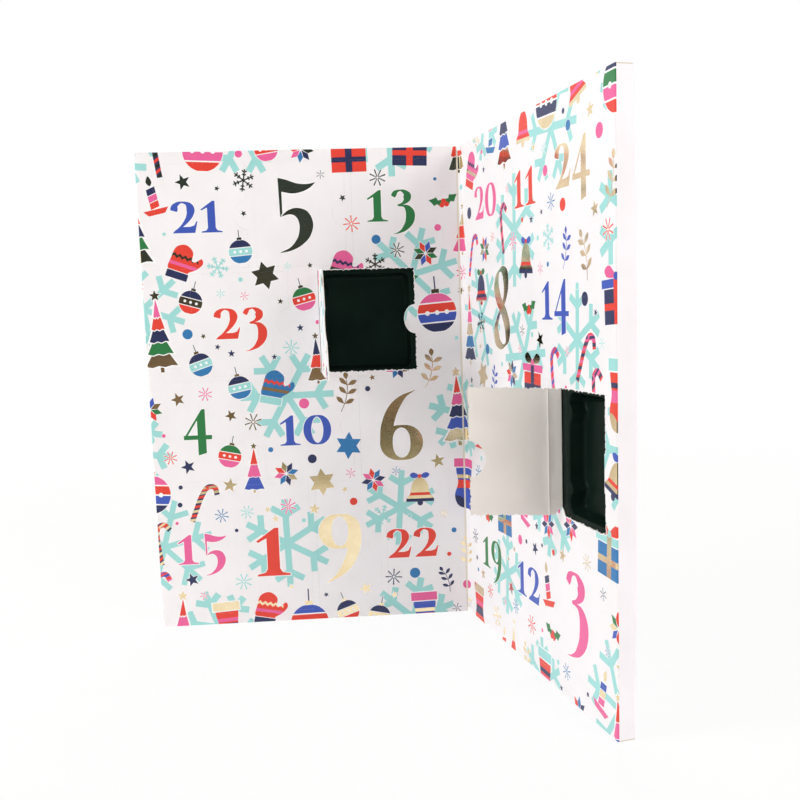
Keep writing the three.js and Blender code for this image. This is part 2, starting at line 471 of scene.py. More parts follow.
def star(points: int, radius: float, waist: float) -> np.ndarray:
    """A star outline that points up.

    Args:
        points: How many points it has.
        radius: From its middle to a point.
        waist: From its middle to a notch.

    Returns:
        The outline.
    """
    angles = math.pi / 2 + np.arange(2 * points) * math.pi / points
    reach = np.where(np.arange(2 * points) % 2, waist, radius)
    return np.c_[reach * np.cos(angles), reach * np.sin(angles)]


def sideways(start: np.ndarray, end: np.ndarray) -> np.ndarray:
    """The direction to the left of the way from one point to another."""
    return np.array([start[1] - end[1], end[0] - start[0]]) / np.hypot(*(end - start))


def bar(
    start: Sequence[float], end: Sequence[float], width: float, end_width: float | None = None
) -> np.ndarray:
    """A straight bar from one point to another, which may widen on its way."""
    a, b = np.asarray(start, float), np.asarray(end, float)
    side = sideways(a, b)
    far = width if end_width is None else end_width
    return np.array([a - side * width / 2, b - side * far / 2, b + side * far / 2, a + side * width / 2])


def block(left: float, bottom: float, right: float, top: float) -> np.ndarray:
    """A rectangle."""
    return ring([(left, bottom), (right, bottom), (right, top), (left, top)])


def leaf(start: Sequence[float], end: Sequence[float], width: float, steps: int = 7) -> np.ndarray:
    """A pointed leaf from its stalk to its tip, widest past its middle."""
    a, b = np.asarray(start, float), np.asarray(end, float)
    side = sideways(a, b)
    share = np.linspace(0, 1, steps)
    swell = np.sin(np.pi * share**1.25)[:, None] * width / 2 * side
    line = a + (b - a) * share[:, None]
    return np.vstack([line - swell, (line + swell)[-2:0:-1]])


def curve(points: Sequence[Sequence[float]], closed: bool = False, steps: int = 6) -> np.ndarray:
    """A smooth line through points.

    Args:
        points: The points that it runs through.
        closed: True where it ends where it starts.
        steps: How many stretches lie between two points.

    Returns:
        The points of the line.
    """
    given = ring(points)
    if closed:
        knots = np.vstack([given[-1:], given, given[:2]])
    else:
        knots = np.vstack([2 * given[0] - given[1], given, 2 * given[-1] - given[-2]])
    t = np.linspace(0, 1, steps, endpoint=False)[:, None]
    out = []
    for a, b, c, d in zip(knots, knots[1:], knots[2:], knots[3:], strict=False):
        out.append(
            0.5 * (2 * b + (c - a) * t + (2 * a - 5 * b + 4 * c - d) * t**2 + (3 * b - a - 3 * c + d) * t**3)
        )
    return np.vstack(out) if closed else np.vstack([*out, given[-1:]])


def ahead_of(line: np.ndarray, closed: bool) -> np.ndarray:
    """Which way a line runs at each of its points."""
    return np.roll(line, -1, 0) - np.roll(line, 1, 0) if closed else np.gradient(line, axis=0)


def stroke(line: np.ndarray, widths: np.ndarray | float, closed: bool = False) -> np.ndarray:
    """The outline of a line drawn with a pen.

    Args:
        line: The points of the line.
        widths: The pen's width at each point, or everywhere.
        closed: True where the line closes on itself.

    Returns:
        The outline, up one side of the line and back down the other.
    """
    ahead = ahead_of(line, closed)
    ahead /= np.maximum(np.hypot(*ahead.T), TINY)[:, None]
    side = np.c_[-ahead[:, 1], ahead[:, 0]] * (np.ones(len(line)) * widths)[:, None] / 2
    left, right = line + side, line - side
    if closed:
        left, right = np.vstack([left, left[:1]]), np.vstack([right, right[:1]])
    return np.vstack([right, left[::-1]])


def grown(points: np.ndarray, by: float, most: float = 2.0) -> np.ndarray:
    """An outline moved outwards, or inwards where by is negative.

    Args:
        points: The outline.
        by: How far each side moves.
        most: The most that a sharp corner may move, as a multiple of by.

    Returns:
        The moved outline.
    """
    ahead = np.roll(points, -1, 0) - points
    length = np.maximum(np.hypot(*ahead.T), TINY)
    normal = np.c_[ahead[:, 1], -ahead[:, 0]] / length[:, None]
    x, z = points.T
    if (x * np.roll(z, -1) - z * np.roll(x, -1)).sum() < 0:
        normal = -normal
    both = normal + np.roll(normal, 1, 0)
    size = np.maximum((both**2).sum(1), TINY)
    reach = np.minimum(2 / size, most / np.sqrt(size))
    return points + both * (reach * by)[:, None]


def within(points: np.ndarray, outline: np.ndarray) -> np.ndarray:
    """Tells which points lie inside an outline, by how often it winds round them.

    Args:
        points: The points.
        outline: The outline, which may cross itself.

    Returns:
        True for each point inside.
    """
    found = np.zeros(len(points), bool)
    near = ((points >= outline.min(0)) & (points <= outline.max(0))).all(1)
    x, z = points[near].T[:, :, None]
    x0, z0 = outline.T
    x1, z1 = np.roll(outline, -1, 0).T
    turn = (x1 - x0) * (z - z0) - (x - x0) * (z1 - z0)
    rising = ((z0 <= z) & (z1 > z) & (turn > 0)).sum(1)
    falling = ((z0 > z) & (z1 <= z) & (turn < 0)).sum(1)
    found[near] = rising != falling
    return found


def left_over(points: np.ndarray, outline: np.ndarray, holes: Sequence[np.ndarray]) -> np.ndarray:
    """Tells which points lie inside an outline and outside its holes."""
    kept = within(points, outline)
    for hole in holes:
        kept &= ~within(points, hole)
    return kept


def traced(loops: Sequence[np.ndarray]) -> tuple[list[Vector], list[tuple[int, int]], list[int]]:
    """Lists the points of closed outlines, the edges between them and where each outline starts."""
    points, edges, firsts = [], [], []
    for loop in loops:
        first, count = len(points), len(loop)
        firsts.append(first)
        points += [Vector(p) for p in loop]
        edges += [(first + k, first + (k + 1) % count) for k in range(count)]
    return points, edges, firsts


@dataclass
class Patch:
    """One inked area of the print.

    Attributes:
        points: Its outline.
        ink: What it is printed in.
        mask: An outline that it is kept inside, if any.
    """

    points: np.ndarray
    ink: Ink
    mask: np.ndarray | None = None

    def moved(self, across: float, up: float, size: float = 1.0, turn: float = 0.0) -> "Patch":
        """The patch scaled, turned by degrees and moved."""
        c, s = size * math.cos(math.radians(turn)), size * math.sin(math.radians(turn))
        matrix, shift = np.array([[c, s], [-s, c]]), np.array([across, up])
        mask = None if self.mask is None else self.mask @ matrix + shift
        return Patch(self.points @ matrix + shift, self.ink, mask)


@dataclass
class Motif:
    """A drawing of several patches, later ones on top, with the room that it takes.

    Attributes:
        patches: The patches.
        room: Circles that cover it, each as across, up and radius.
        keyline: How wide a white line runs round it.
    """

    patches: list[Patch]
    room: list[Circle]
    keyline: float = 0.5

    def moved(self, across: float, up: float, size: float = 1.0, turn: float = 0.0) -> "Motif":
        """The motif scaled, turned by degrees and moved."""
        c, s = size * math.cos(math.radians(turn)), size * math.sin(math.radians(turn))
        room = [(across + c * x - s * z, up + s * x + c * z, r * size) for x, z, r in self.room]
        return Motif([p.moved(across, up, size, turn) for p in self.patches], room, self.keyline)

    def inked(self) -> list[Patch]:
        """The patches over their white line."""
        line = [
            Patch(grown(p.points, self.keyline), Ink.KEYLINE)
            for p in self.patches
            if p.mask is None and self.keyline
        ]
        return line + self.patches


class Numerals:
    """Old-style numerals of the calendar's own, drawn with a pen that is broad on upright strokes."""

    thick, thin = 0.26, 0.05
    rise = {6: 1.42, 8: 1.42}
    drop = {3: 0.42, 4: 0.4, 5: 0.42, 7: 0.42, 9: 0.42}
    advance = {1: 0.8, 4: 0.96, 0: 1.0}
    usual_advance = 0.92
    side_gap = 0.13
    digit_middle = 0.41
    keyline = 0.55

    def pen(
        self,
        points: Sequence[Sequence[float]],
        closed: bool = False,
        weight: float = 1.0,
        ends: tuple[float, float] = (1.0, 1.0),
        slant: float = 0.0,
    ) -> np.ndarray:
        """One stroke of the pen.

        Args:
            points: The points that the stroke runs through.
            closed: True for a loop.
            weight: How much broader the pen is than usual.
            ends: The share of the width that is left at the start and at the end.
            slant: How far the pen is turned, in degrees.

        Returns:
            The stroke's outline.
        """
        line = curve(points, closed)
        ahead = ahead_of(line, closed)
        upright = np.abs(np.sin(np.arctan2(ahead[:, 1], ahead[:, 0]) - math.radians(slant)))
        widths = self.thin + (self.thick * weight - self.thin) * upright**1.7
        share = np.linspace(0, 1, len(line))
        for left, away in ((ends[0], share), (ends[1], 1 - share)):
            widths = widths * (1 - (1 - left) * np.clip(1 - away / 0.45, 0, 1) ** 1.5)
        return stroke(line, widths, closed)

    def loop(self, across: float, up: float, wide: float, high: float) -> np.ndarray:
        """A closed oval stroke."""
        return self.pen(disc(0, 0, 1, 16) * (wide, high) + (across, up), closed=True)

    def digit(self, value: int) -> list[np.ndarray]:
        """The outlines of one digit, standing on 0 and 1 high where it neither rises nor drops."""
        shapes: dict[int, list[np.ndarray]] = {
            0: [self.loop(0.44, 0.49, 0.33, 0.465)],
            1: [
                ring([(0.21, 0.1), (0.46, 0.1), (0.46, 1.0), (0.38, 1.0), (0.0, 0.735), (0.03, 0.7),
                      (0.21, 0.79)]),
                ring([(0, 0), (0.67, 0), (0.67, 0.035), (0.51, 0.07), (0.46, 0.15), (0.21, 0.15),
                      (0.16, 0.07), (0, 0.035)]),
            ],
            2: [
                self.pen([(0.07, 0.7), (0.13, 0.87), (0.31, 0.97), (0.52, 0.91), (0.61, 0.72),
                          (0.53, 0.48), (0.33, 0.24), (0.06, 0.03)], ends=(0.9, 0.2)),
                ring([(0, 0), (0.72, 0), (0.81, 0.37), (0.775, 0.37), (0.7, 0.235), (0.56, 0.195),
                      (0.26, 0.195), (0.1, 0.1)]),
            ],
            3: [
                self.pen([(0.05, 0.79), (0.16, 0.94), (0.34, 0.975), (0.5, 0.86), (0.5, 0.69),
                          (0.38, 0.57), (0.2, 0.51)], ends=(0.7, 0.6)),
                self.pen([(0.2, 0.51), (0.46, 0.46), (0.6, 0.26), (0.57, -0.02), (0.4, -0.25),
                          (0.2, -0.37), (0.0, -0.42)], weight=1.15, ends=(1.0, 0.05)),
            ],
            4: [
                bar((0.02, 0.15), (0.56, 0.98), 0.06),
                block(-0.02, 0.09, 0.83, 0.22),
                ring([(0.4, -0.4), (0.65, -0.33), (0.65, 1.02), (0.56, 1.02), (0.4, 0.78)]),
            ],
            5: [
                np.vstack([
                    curve([(0.1, 1.03), (0.26, 0.99), (0.46, 0.92), (0.65, 0.9), (0.83, 0.93)]),
                    curve([(0.82, 0.915), (0.71, 0.82), (0.55, 0.75), (0.36, 0.725), (0.14, 0.77)]),
                ]),
                ring([(0.1, 1.0), (0.165, 0.99), (0.165, 0.35), (0.12, 0.27)]),
                np.vstack([
                    curve([(0.12, 0.27), (0.27, 0.4), (0.46, 0.445), (0.66, 0.37), (0.76, 0.14),
                           (0.69, -0.11), (0.52, -0.28), (0.31, -0.38), (0.09, -0.42)]),
                    curve([(0.1, -0.405), (0.3, -0.31), (0.45, -0.12), (0.49, 0.1), (0.44, 0.26),
                           (0.32, 0.325), (0.16, 0.29)]),
                ]),
            ],
            6: [
                self.loop(0.42, 0.345, 0.31, 0.335),
                self.pen([(0.73, 1.41), (0.47, 1.27), (0.26, 1.02), (0.14, 0.7), (0.11, 0.36)],
                         ends=(0.05, 1.0)),
            ],
            7: [
                ring([(0.03, 1.0), (0.05, 0.68), (0.085, 0.68), (0.16, 0.82), (0.74, 0.82), (0.78, 1.0)]),
                self.pen([(0.7, 0.9), (0.5, 0.55), (0.35, 0.1), (0.3, -0.4)], ends=(0.4, 1.0)),
            ],
            8: [
                self.pen([(0.42, 1.39), (0.24, 1.31), (0.17, 1.09), (0.28, 0.85), (0.52, 0.61),
                          (0.66, 0.36), (0.62, 0.11), (0.41, 0.02), (0.18, 0.11), (0.12, 0.34),
                          (0.26, 0.58), (0.5, 0.8), (0.62, 1.04), (0.6, 1.29)], closed=True, slant=24.0),
            ],
            9: [
                self.loop(0.39, 0.655, 0.3, 0.335),
                self.pen([(0.08, -0.42), (0.36, -0.24), (0.57, 0.03), (0.68, 0.35), (0.695, 0.66)],
                         ends=(0.05, 1.0)),
            ],
        }
        return shapes[value]

    def motif(self, number: int, middle: tuple[float, float], high: float, ink: Ink) -> Motif:
        """A number as a motif.

        Args:
            number: The number.
            middle: Where its middle lies, over its whole height.
            high: How high a digit is that neither rises nor drops.
            ink: What it is printed in.

        Returns:
            The number in its place.
        """
        digits = [int(c) for c in str(number)]
        starts = np.cumsum([0, *(self.advance.get(d, self.usual_advance) for d in digits)])
        top = max(self.rise.get(d, 1.0) for d in digits)
        bottom = max(self.drop.get(d, 0.0) for d in digits)
        left = middle[0] - (starts[-1] - self.side_gap) / 2 * high
        base = middle[1] - (top - bottom) / 2 * high
        patches = [
            Patch(outline, ink).moved(left + start * high, base, high)
            for d, start in zip(digits, starts, strict=False)
            for outline in self.digit(d)
        ]
        room = [
            (
                left + (start + self.digit_middle) * high,
                base + (self.rise.get(d, 1.0) - self.drop.get(d, 0.0)) / 2 * high,
                (self.rise.get(d, 1.0) + self.drop.get(d, 0.0)) * high / 2,
            )
            for d, start in zip(digits, starts, strict=False)
        ]
        return Motif(patches, room, self.keyline)


def sized(patches: list[Patch], room: list[Circle], size: float) -> Motif:
    """A motif that is drawn about one unit high, at its size in millimetres."""
    return Motif(patches, room, FINE_LINE).moved(0, 0, size)


def bow(points: Sequence[Sequence[float]], ink: Ink) -> list[Patch]:
    """The two loops of a bow, of which the right one is given."""
    return [Patch(curve(ring(points) * (side, 1), closed=True), ink) for side in (-1, 1)]


class Ornaments:
    """The calendar's own winter ornaments, each drawn about its middle in millimetres."""

    @staticmethod
    def flake(
        radius: float, width: float, ink: Ink, pairs: Sequence[tuple[float, float]] = ((0.64, 0.36),)
    ) -> Motif:
        """A snowflake of six straight arms with pairs of side branches.

        Args:
            radius: From its middle to an arm's end.
            width: How wide the arms and branches are.
            ink: What it is printed in.
            pairs: Where each pair of branches starts and how long it is, as shares of the radius.

        Returns:
            The snowflake.
        """
        patches = []
        for arm in range(6):
            patches.append(Patch(bar((0, 0), (radius, 0), width), ink).moved(0, 0, 1, 60 * arm + 30))
            for at, length in pairs:
                for side in (-1, 1):
                    lean = math.radians(60)
                    tip = (radius * (at + length * math.cos(lean)), side * radius * length * math.sin(lean))
                    branch = bar((radius * at, 0), tip, width)
                    patches.append(Patch(branch, ink).moved(0, 0, 1, 60 * arm + 30))
        return Motif(patches, [(0, 0, radius)], 0.0)

    @staticmethod
    def burst(radius: float, rays: int, ink: Ink) -> Motif:
        """A burst of fine rays."""
        patches = [
            Patch(bar((radius * 0.12, 0), (radius, 0), radius * 0.1, radius * 0.16), ink).moved(
                0, 0, 1, 360 * ray / rays
            )
            for ray in range(rays)
        ]
        return Motif(patches, [(0, 0, radius)], 0.3)

    @staticmethod
    def spangle(radius: float, points: int, ink: Ink) -> Motif:
        """A plain star."""
        waist = radius * (0.42 if points == 5 else 0.56)
        return Motif([Patch(star(points, radius, waist), ink)], [(0, 0, radius * 0.9)], 0.4)

    @staticmethod
    def spot(radius: float, ink: Ink) -> Motif:
        """A round spot."""
        return Motif([Patch(disc(0, 0, radius, 20), ink)], [(0, 0, radius)], 0.3)

    @staticmethod
    def quilt_star(radius: float, inks: Sequence[Ink]) -> Motif:
        """An eight-pointed star pieced from kites of several colours."""
        kite = ring([(0.08, 0), (0.55, -0.22), (1, 0), (0.55, 0.22)]) * radius
        patches = [
            Patch(kite, inks[k % len(inks)]).moved(0, 0, 1, 45 * k + 22.5) for k in range(8)
        ]
        return Motif(patches, [(0, 0, radius)], 0.35)

    @staticmethod
    def fir(height: float, inks: Sequence[Ink]) -> Motif:
        """A slim fir of scalloped tiers under a star."""
        tiers = len(inks)
        half = height * 0.19
        patches = [Patch(block(-height * 0.022, -height * 0.5, height * 0.022, -height * 0.4), Ink.FOIL)]
        for k in range(tiers - 1, -1, -1):
            low = height * (0.33 - 0.75 * (k + 1) / tiers)
            high = height * (0.36 - 0.75 * k / tiers) + height * 0.035
            wide = half * (k + 1.1) / tiers
            top = wide * 0.3 * (k > 0)
            dip, hair = height * 0.018, 1e-3
            tier = ring([
                (-top, high), (-wide, low), (-wide * 0.6, low - dip), (-wide * 0.2, low),
                (wide * 0.2, low - dip), (wide * 0.6, low), (wide, low - dip * 0.4), (top + hair, high),
            ])
            patches.append(Patch(grown(tier, height * 0.012), Ink.KEYLINE))
            patches.append(Patch(tier, inks[k]))
        patches.append(Patch(star(5, height * 0.07, height * 0.03) + (0, height * 0.43), Ink.FOIL))
        circles = ((0.38, 0.1), (0.12, 0.13), (-0.12, 0.17), (-0.36, 0.2))
        room = [(0, height * up, height * reach) for up, reach in circles]
        return Motif(patches, room, 0.5)

    @staticmethod
    def bauble(radius: float, inks: Sequence[Ink]) -> Motif:
        """A round bauble in bands, on a thread."""
        ball = disc(0, 0, radius, 32)
        patches = [
            Patch(bar((0, radius), (0, radius * 1.85), radius * 0.07), Ink.NAVY),
            Patch(block(-radius * 0.2, radius * 0.9, radius * 0.2, radius * 1.2), Ink.FOIL),
            Patch(ball, Ink.KEYLINE),
        ]
        edges = np.linspace(-1, 1, len(inks) + 1) * radius
        gap = radius * 0.035
        for ink, low, high in zip(inks, edges, edges[1:], strict=False):
            band = block(-radius - 1, low + gap, radius + 1, high - gap)
            patches.append(Patch(band, ink, ball))
        for k in (-1, 0, 1):
            patches.append(Patch(disc(k * radius * 0.5, 0, radius * 0.12, 12), Ink.KEYLINE, ball))
        return Motif(patches, [(0, 0, radius * 1.05), (0, radius * 1.5, radius * 0.3)], 0.5)

    @staticmethod
    def mitten(size: float, inks: Sequence[Ink]) -> Motif:
        """A knitted mitten with a cuff and a zigzag band."""
        hand = curve([(-0.3, -0.28), (-0.32, 0.1), (-0.26, 0.42), (0, 0.56), (0.26, 0.42), (0.3, 0.16),
                      (0.42, 0.16), (0.56, 0.3), (0.64, 0.16), (0.5, -0.06), (0.3, -0.22), (0.28, -0.3)],
                     closed=True)
        zigzag = [(x, 0.1 + 0.07 * (k % 2)) for k, x in enumerate(np.linspace(-0.5, 0.5, 13))]
        band = np.vstack([ring(zigzag), (ring(zigzag) + (0, 0.09))[::-1]])
        patches = [
            Patch(hand, inks[0]),
            Patch(band, inks[2], hand),
            Patch(block(-0.5, -0.1, 0.5, 0.0), inks[3], hand),
            Patch(block(-0.36, -0.52, 0.34, -0.26), Ink.KEYLINE),
            Patch(block(-0.34, -0.5, 0.32, -0.28), inks[1]),
        ]
        return sized(patches, [(0.05, 0.15, 0.5), (0, -0.3, 0.4)], size)

    @staticmethod
    def bell(size: float, inks: Sequence[Ink]) -> Motif:
        """A bell with a banded rim under a bow."""
        body = curve([(-0.46, -0.34), (-0.34, -0.14), (-0.28, 0.16), (-0.16, 0.36), (0.0, 0.42),
                      (0.16, 0.36), (0.28, 0.16), (0.34, -0.14), (0.46, -0.34), (0, -0.37)], closed=True)
        patches = [
            Patch(disc(0, -0.46, 0.1, 16), inks[1]),
            Patch(body, inks[0]),
            Patch(block(-0.5, -0.2, 0.5, -0.1), inks[2], body),
            Patch(block(-0.48, -0.42, 0.48, -0.31), inks[1]),
        ]
        patches += bow([(0, 0.46), (0.2, 0.6), (0.34, 0.52), (0.22, 0.4)], inks[3])
        patches.append(Patch(disc(0, 0.47, 0.07, 12), inks[2]))
        return sized(patches, [(0, -0.06, 0.54), (0, 0.45, 0.24)], size)

    @staticmethod
    def present(size: float, inks: Sequence[Ink]) -> Motif:
        """A tied box with a lid and a bow."""
        box = block(-0.42, -0.5, 0.42, 0.1)
        patches = [
            Patch(box, inks[0]),
            Patch(block(-0.5, 0.12, 0.5, 0.27), inks[1]),
            Patch(block(-0.08, -0.5, 0.08, 0.27), inks[2]),
            Patch(block(-0.42, -0.26, 0.42, -0.14), inks[2]),
        ]
        patches += bow([(0, 0.3), (0.2, 0.5), (0.38, 0.44), (0.3, 0.31)], inks[3])
        patches.append(Patch(disc(0, 0.31, 0.07, 12), inks[1]))
        return sized(patches, [(0, -0.12, 0.52), (0, 0.3, 0.3)], size)

    @staticmethod
    def cane(size: float, inks: Sequence[Ink]) -> Motif:
        """A striped stick with a crook."""
        line = curve([(-0.16, -0.52), (-0.12, -0.2), (-0.07, 0.14), (0.02, 0.4), (0.2, 0.45), (0.3, 0.28)],
                     steps=8)
        body = stroke(line, 0.13)
        stripes = []
        for k in range(1, len(line) - 2, 3):
            across = bar(line[k] + (-0.12, -0.05), line[k] + (0.12, 0.05), 0.065)
            stripes.append(Patch(across, inks[1 + (k // 3) % 2], body))
        return sized([Patch(body, inks[0]), *stripes], [(-0.1, -0.25, 0.25), (0.05, 0.25, 0.28)], size)

    @staticmethod
    def stocking(size: float, inks: Sequence[Ink]) -> Motif:
        """A stocking in colour blocks with a cuff."""
        sock = curve([(-0.24, 0.38), (-0.22, 0.05), (-0.28, -0.2), (-0.2, -0.4), (0.02, -0.46), (0.3, -0.46),
                      (0.46, -0.34), (0.4, -0.2), (0.2, -0.12), (0.14, 0.06), (0.14, 0.38)], closed=True)
        patches = [
            Patch(sock, inks[0]),
            Patch(block(-0.6, -0.06, 0.6, 0.1), inks[1], sock),
            Patch(block(-0.6, 0.13, 0.6, 0.2), inks[2], sock),
            Patch(disc(-0.26, -0.4, 0.2), inks[3], sock),
            Patch(disc(0.48, -0.34, 0.23), inks[2], sock),
            Patch(block(-0.32, 0.33, 0.22, 0.53), Ink.KEYLINE),
            Patch(block(-0.3, 0.35, 0.2, 0.51), inks[4 % len(inks)]),
        ]
        return sized(patches, [(-0.05, 0.25, 0.32), (0, -0.25, 0.36), (0.3, -0.3, 0.22)], size)

    @staticmethod
    def candle(size: float, inks: Sequence[Ink]) -> Motif:
        """A banded candle in a dish."""
        body = block(-0.12, -0.36, 0.12, 0.2)
        dish = ring([(-0.34, -0.36), (0.34, -0.36), (0.22, -0.5), (-0.22, -0.5)])
        patches = [Patch(dish, inks[0]), Patch(body, Ink.KEYLINE)]
        edges = np.linspace(-0.35, 0.2, len(inks) + 1)
        for ink, low, high in zip(inks, edges, edges[1:], strict=False):
            slope, gap = 0.05, 0.02
            band = ring([(-0.12, low), (0.12, low + slope), (0.12, high + slope - gap), (-0.12, high - gap)])
            patches.append(Patch(band, ink))
        flame = curve([(0, 0.26), (0.08, 0.36), (0.02, 0.52), (-0.07, 0.38)], closed=True)
        patches.append(Patch(flame, Ink.FOIL))
        return sized(patches, [(0, -0.3, 0.28), (0, 0.05, 0.2), (0, 0.35, 0.16)], size)

    @staticmethod
    def sprig(size: float, ink: Ink, pairs: int = 3) -> Motif:
        """A bent sprig with leaves on both sides and one at its tip."""
        stem = curve([(-0.06, -0.52), (0.02, -0.2), (0.02, 0.12), (-0.04, 0.34)])
        patches = [Patch(stroke(stem, 0.022), ink), Patch(leaf(stem[-1], (-0.1, 0.56), 0.13), ink)]
        for k in range(pairs):
            root = stem[int((k + 1) * (len(stem) - 2) / (pairs + 0.6))]
            for side in (-1, 1):
                tip = root + (side * 0.24, 0.17)
                patches.append(Patch(leaf(root, tip, 0.12), ink))
        return Motif(patches, [(0, 0.25, 0.32), (0, -0.2, 0.3)], 0.02).moved(0, 0, size)

    @staticmethod
    def holly(size: float, leaves: Ink, berries: Ink) -> Motif:
        """Two toothed leaves with three berries."""
        edge = ring([(0, 0), (0.14, 0.13), (0.26, 0.07), (0.36, 0.17), (0.48, 0.08), (0.62, 0)])
        whole = np.vstack([edge, (edge * (1, -1))[-2:0:-1]])
        patches = [Patch(whole, leaves).moved(0, 0, 1, turn) for turn in (155, 25)]
        patches += [
            Patch(disc(x, z, 0.095, 14), berries) for x, z in ((-0.09, -0.03), (0.09, -0.03), (0, 0.11))
        ]
        return sized(patches, [(0, 0.08, 0.42)], size)


@dataclass
class Artwork:
    """The print, laid out once across both faces and the spine between them.

    Attributes:
        width: The width of a face.
        height: Its height.
        spine: The width of the spine between the faces.
        fold_gap: How far the fold line lies from a face.
        seed: Where the drawing of the layout starts.
        flake_count: How many large snowflakes are tried.
        flake_reach: The least and the greatest reach of their arms.
        flake_width: The least and the greatest width of their arms.
        crease: How far the beige line at the left fold reaches before and past it: partly the bared crease,
            partly painted shade of the concave fold.
        patches: Everything that is drawn, later patches on top.
        taken: The circles that motifs and numbers take.
    """

    width: float = 232.0
    height: float = 350.0
    spine: float = 3.5
    fold_gap: float = 0.15
    seed: int = 24
    flake_count: int = 26
    flake_reach: tuple[float, float] = (28, 37)
    flake_width: tuple[float, float] = (4.1, 5.0)
    crease: tuple[float, float] = (0.75, 0.6)
    patches: list[Patch] = field(default_factory=list)
    taken: list[Circle] = field(default_factory=list)

    def start_of(self, half: Half) -> float:
        """Where a half's left edge lies across the spread."""
        return 0.0 if half is Half.LEFT else self.width + self.spine

    def numbers(self) -> list[Motif]:
        """The numbers in their places, each given by its middle, its height and the letter of its ink."""
        low, tall = 22.5, 37.0
        middling = low * 1.08
        places = {
            Half.LEFT: (
                (21, 42, 304, low, "r"), (5, 112, 303, tall, "f"), (13, 183, 304, low, "g"),
                (23, 70, 222, low, "c"), (17, 163, 226, low, "t"),
                (4, 34, 147, middling, "g"), (10, 113, 146, low, "r"), (6, 184, 147, tall, "f"),
                (15, 32, 54, low, "p"), (1, 85, 54, tall, "c"),
                (9, 136, 54, tall, "f"), (22, 191, 56, low, "c"),
            ),
            Half.RIGHT: (
                (20, 48, 305, low, "p"), (11, 117, 305, low, "c"), (24, 183, 305, middling, "f"),
                (8, 75, 232, tall, "f"), (14, 159, 231, low, "r"), (16, 35, 147, low, "c"),
                (7, 86, 147, tall, "p"), (18, 137, 147, low, "r"), (2, 192, 147, tall, "g"),
                (19, 47, 52, low, "g"), (12, 113, 55, low, "r"), (3, 185, 53, tall, "p"),
            ),
        }
        numerals = Numerals()
        return [
            numerals.motif(number, (self.start_of(half) + across, up), high, *inks_of(letter))
            for half, rows in places.items()
            for number, across, up, high, letter in rows
        ]

    def clearance(self, motif: Motif, others: Sequence[Circle]) -> float:
        """How far a motif stays from what is already drawn.

        Args:
            motif: The motif in its place.
            others: The circles that are taken.

        Returns:
            The least distance, below 0 where they meet.
        """
        if not others:
            return math.inf
        mine, taken = np.array(motif.room), np.array(others)
        gaps = np.hypot(*(mine[:, None, :2] - taken[None, :, :2]).transpose(2, 0, 1))
        return float((gaps - mine[:, None, 2] - taken[None, :, 2]).min())

    def strew(
        self,
        dice: random.Random,
        motifs: Sequence[Motif],
        others: list[Circle],
        least: float,
        tries: int,
        lean: float = 0.0,
        bleed: float = 4.0,
    ) -> int:
        """Draws motifs where they have the most room.

        Args:
            dice: Where the chances come from.
            motifs: The motifs, drawn about their middles.
            others: The circles that are taken, to which new ones are added.
            least: The least clearance that a motif needs.
            tries: How many places are tried for each.
            lean: How far a motif may be turned, in degrees.
            bleed: How far past the sheet a middle may lie.

        Returns:
            How many found a place.
        """
        drawn = 0
        far = 2 * self.width + self.spine
        for motif in motifs:
            turn = dice.uniform(-lean, lean)
            best, room = None, least
            for _ in range(tries):
                across = dice.uniform(-bleed, far + bleed)
                up = dice.uniform(-bleed, self.height + bleed)
                placed = motif.moved(across, up, 1.0, turn)
                free = self.clearance(placed, others)
                if free > room:
                    best, room = placed, free
            if best is not None:
                self.patches += best.inked()
                others += best.room
                drawn += 1
        return drawn

    def flakes(self, dice: random.Random) -> list[Motif]:
        """The large snowflakes under everything else."""
        return [
            Ornaments.flake(dice.uniform(*self.flake_reach), dice.uniform(*self.flake_width), Ink.TURQUOISE)
            for _ in range(self.flake_count)
        ]

    def several(self, draw: Callable[..., Motif], size: float, words: str, times: int) -> list[Motif]:
        """Draws a motif in each set of inks, each a word of ink letters, and all of them several times."""
        return [draw(size, inks_of(word)) for word in words.split() * times]

    def large(self, dice: random.Random) -> list[Motif]:
        """The large motifs, in the colours that recur over the print."""
        made = [
            *self.several(Ornaments.fir, 60, "cpfbn pcngf cpnrf", 2),
            *self.several(Ornaments.stocking, 40, "cpnft rcfnp cnpgf", 2),
            *self.several(Ornaments.bauble, 14.5, "nrcp fncr cpgn", 2),
            *self.several(Ornaments.present, 30, "cpnf nrcp btfc", 2),
            *self.several(Ornaments.fir, 38, "cpr fcp ncf", 2),
        ]
        dice.shuffle(made)
        return made

    def middling(self, dice: random.Random) -> list[Motif]:
        """The motifs of middle size."""
        sizes = (27, 22, 28, 20, 24)
        made = [
            *self.several(Ornaments.mitten, 24, "btcf cnfp pcnf", 3),
            *self.several(Ornaments.bell, 22, "cfpn fncr nfcg", 3),
            *self.several(Ornaments.cane, 30, "cnp pcr nfc", 3),
            *self.several(Ornaments.candle, 27, "cpn btc pfr", 2),
            *self.several(Ornaments.bauble, 8.5, "cfn btn pcg", 3),
            *self.several(Ornaments.quilt_star, 9.5, "nbcp frcg bnfcp", 4),
            *(Ornaments.sprig(*pair) for pair in [*zip(sizes, inks_of("frfnf"), strict=True)] * 2),
            *(Ornaments.holly(19, *inks_of("gc")) for _ in range(5)),
            *(Ornaments.spangle(10.5, 6, ink) for ink in inks_of("ffbf")),
            *(Ornaments.flake(8, 1.0, ink, ((0.45, 0.2), (0.72, 0.26))) for ink in inks_of("ftftftff")),
        ]
        dice.shuffle(made)
        return made

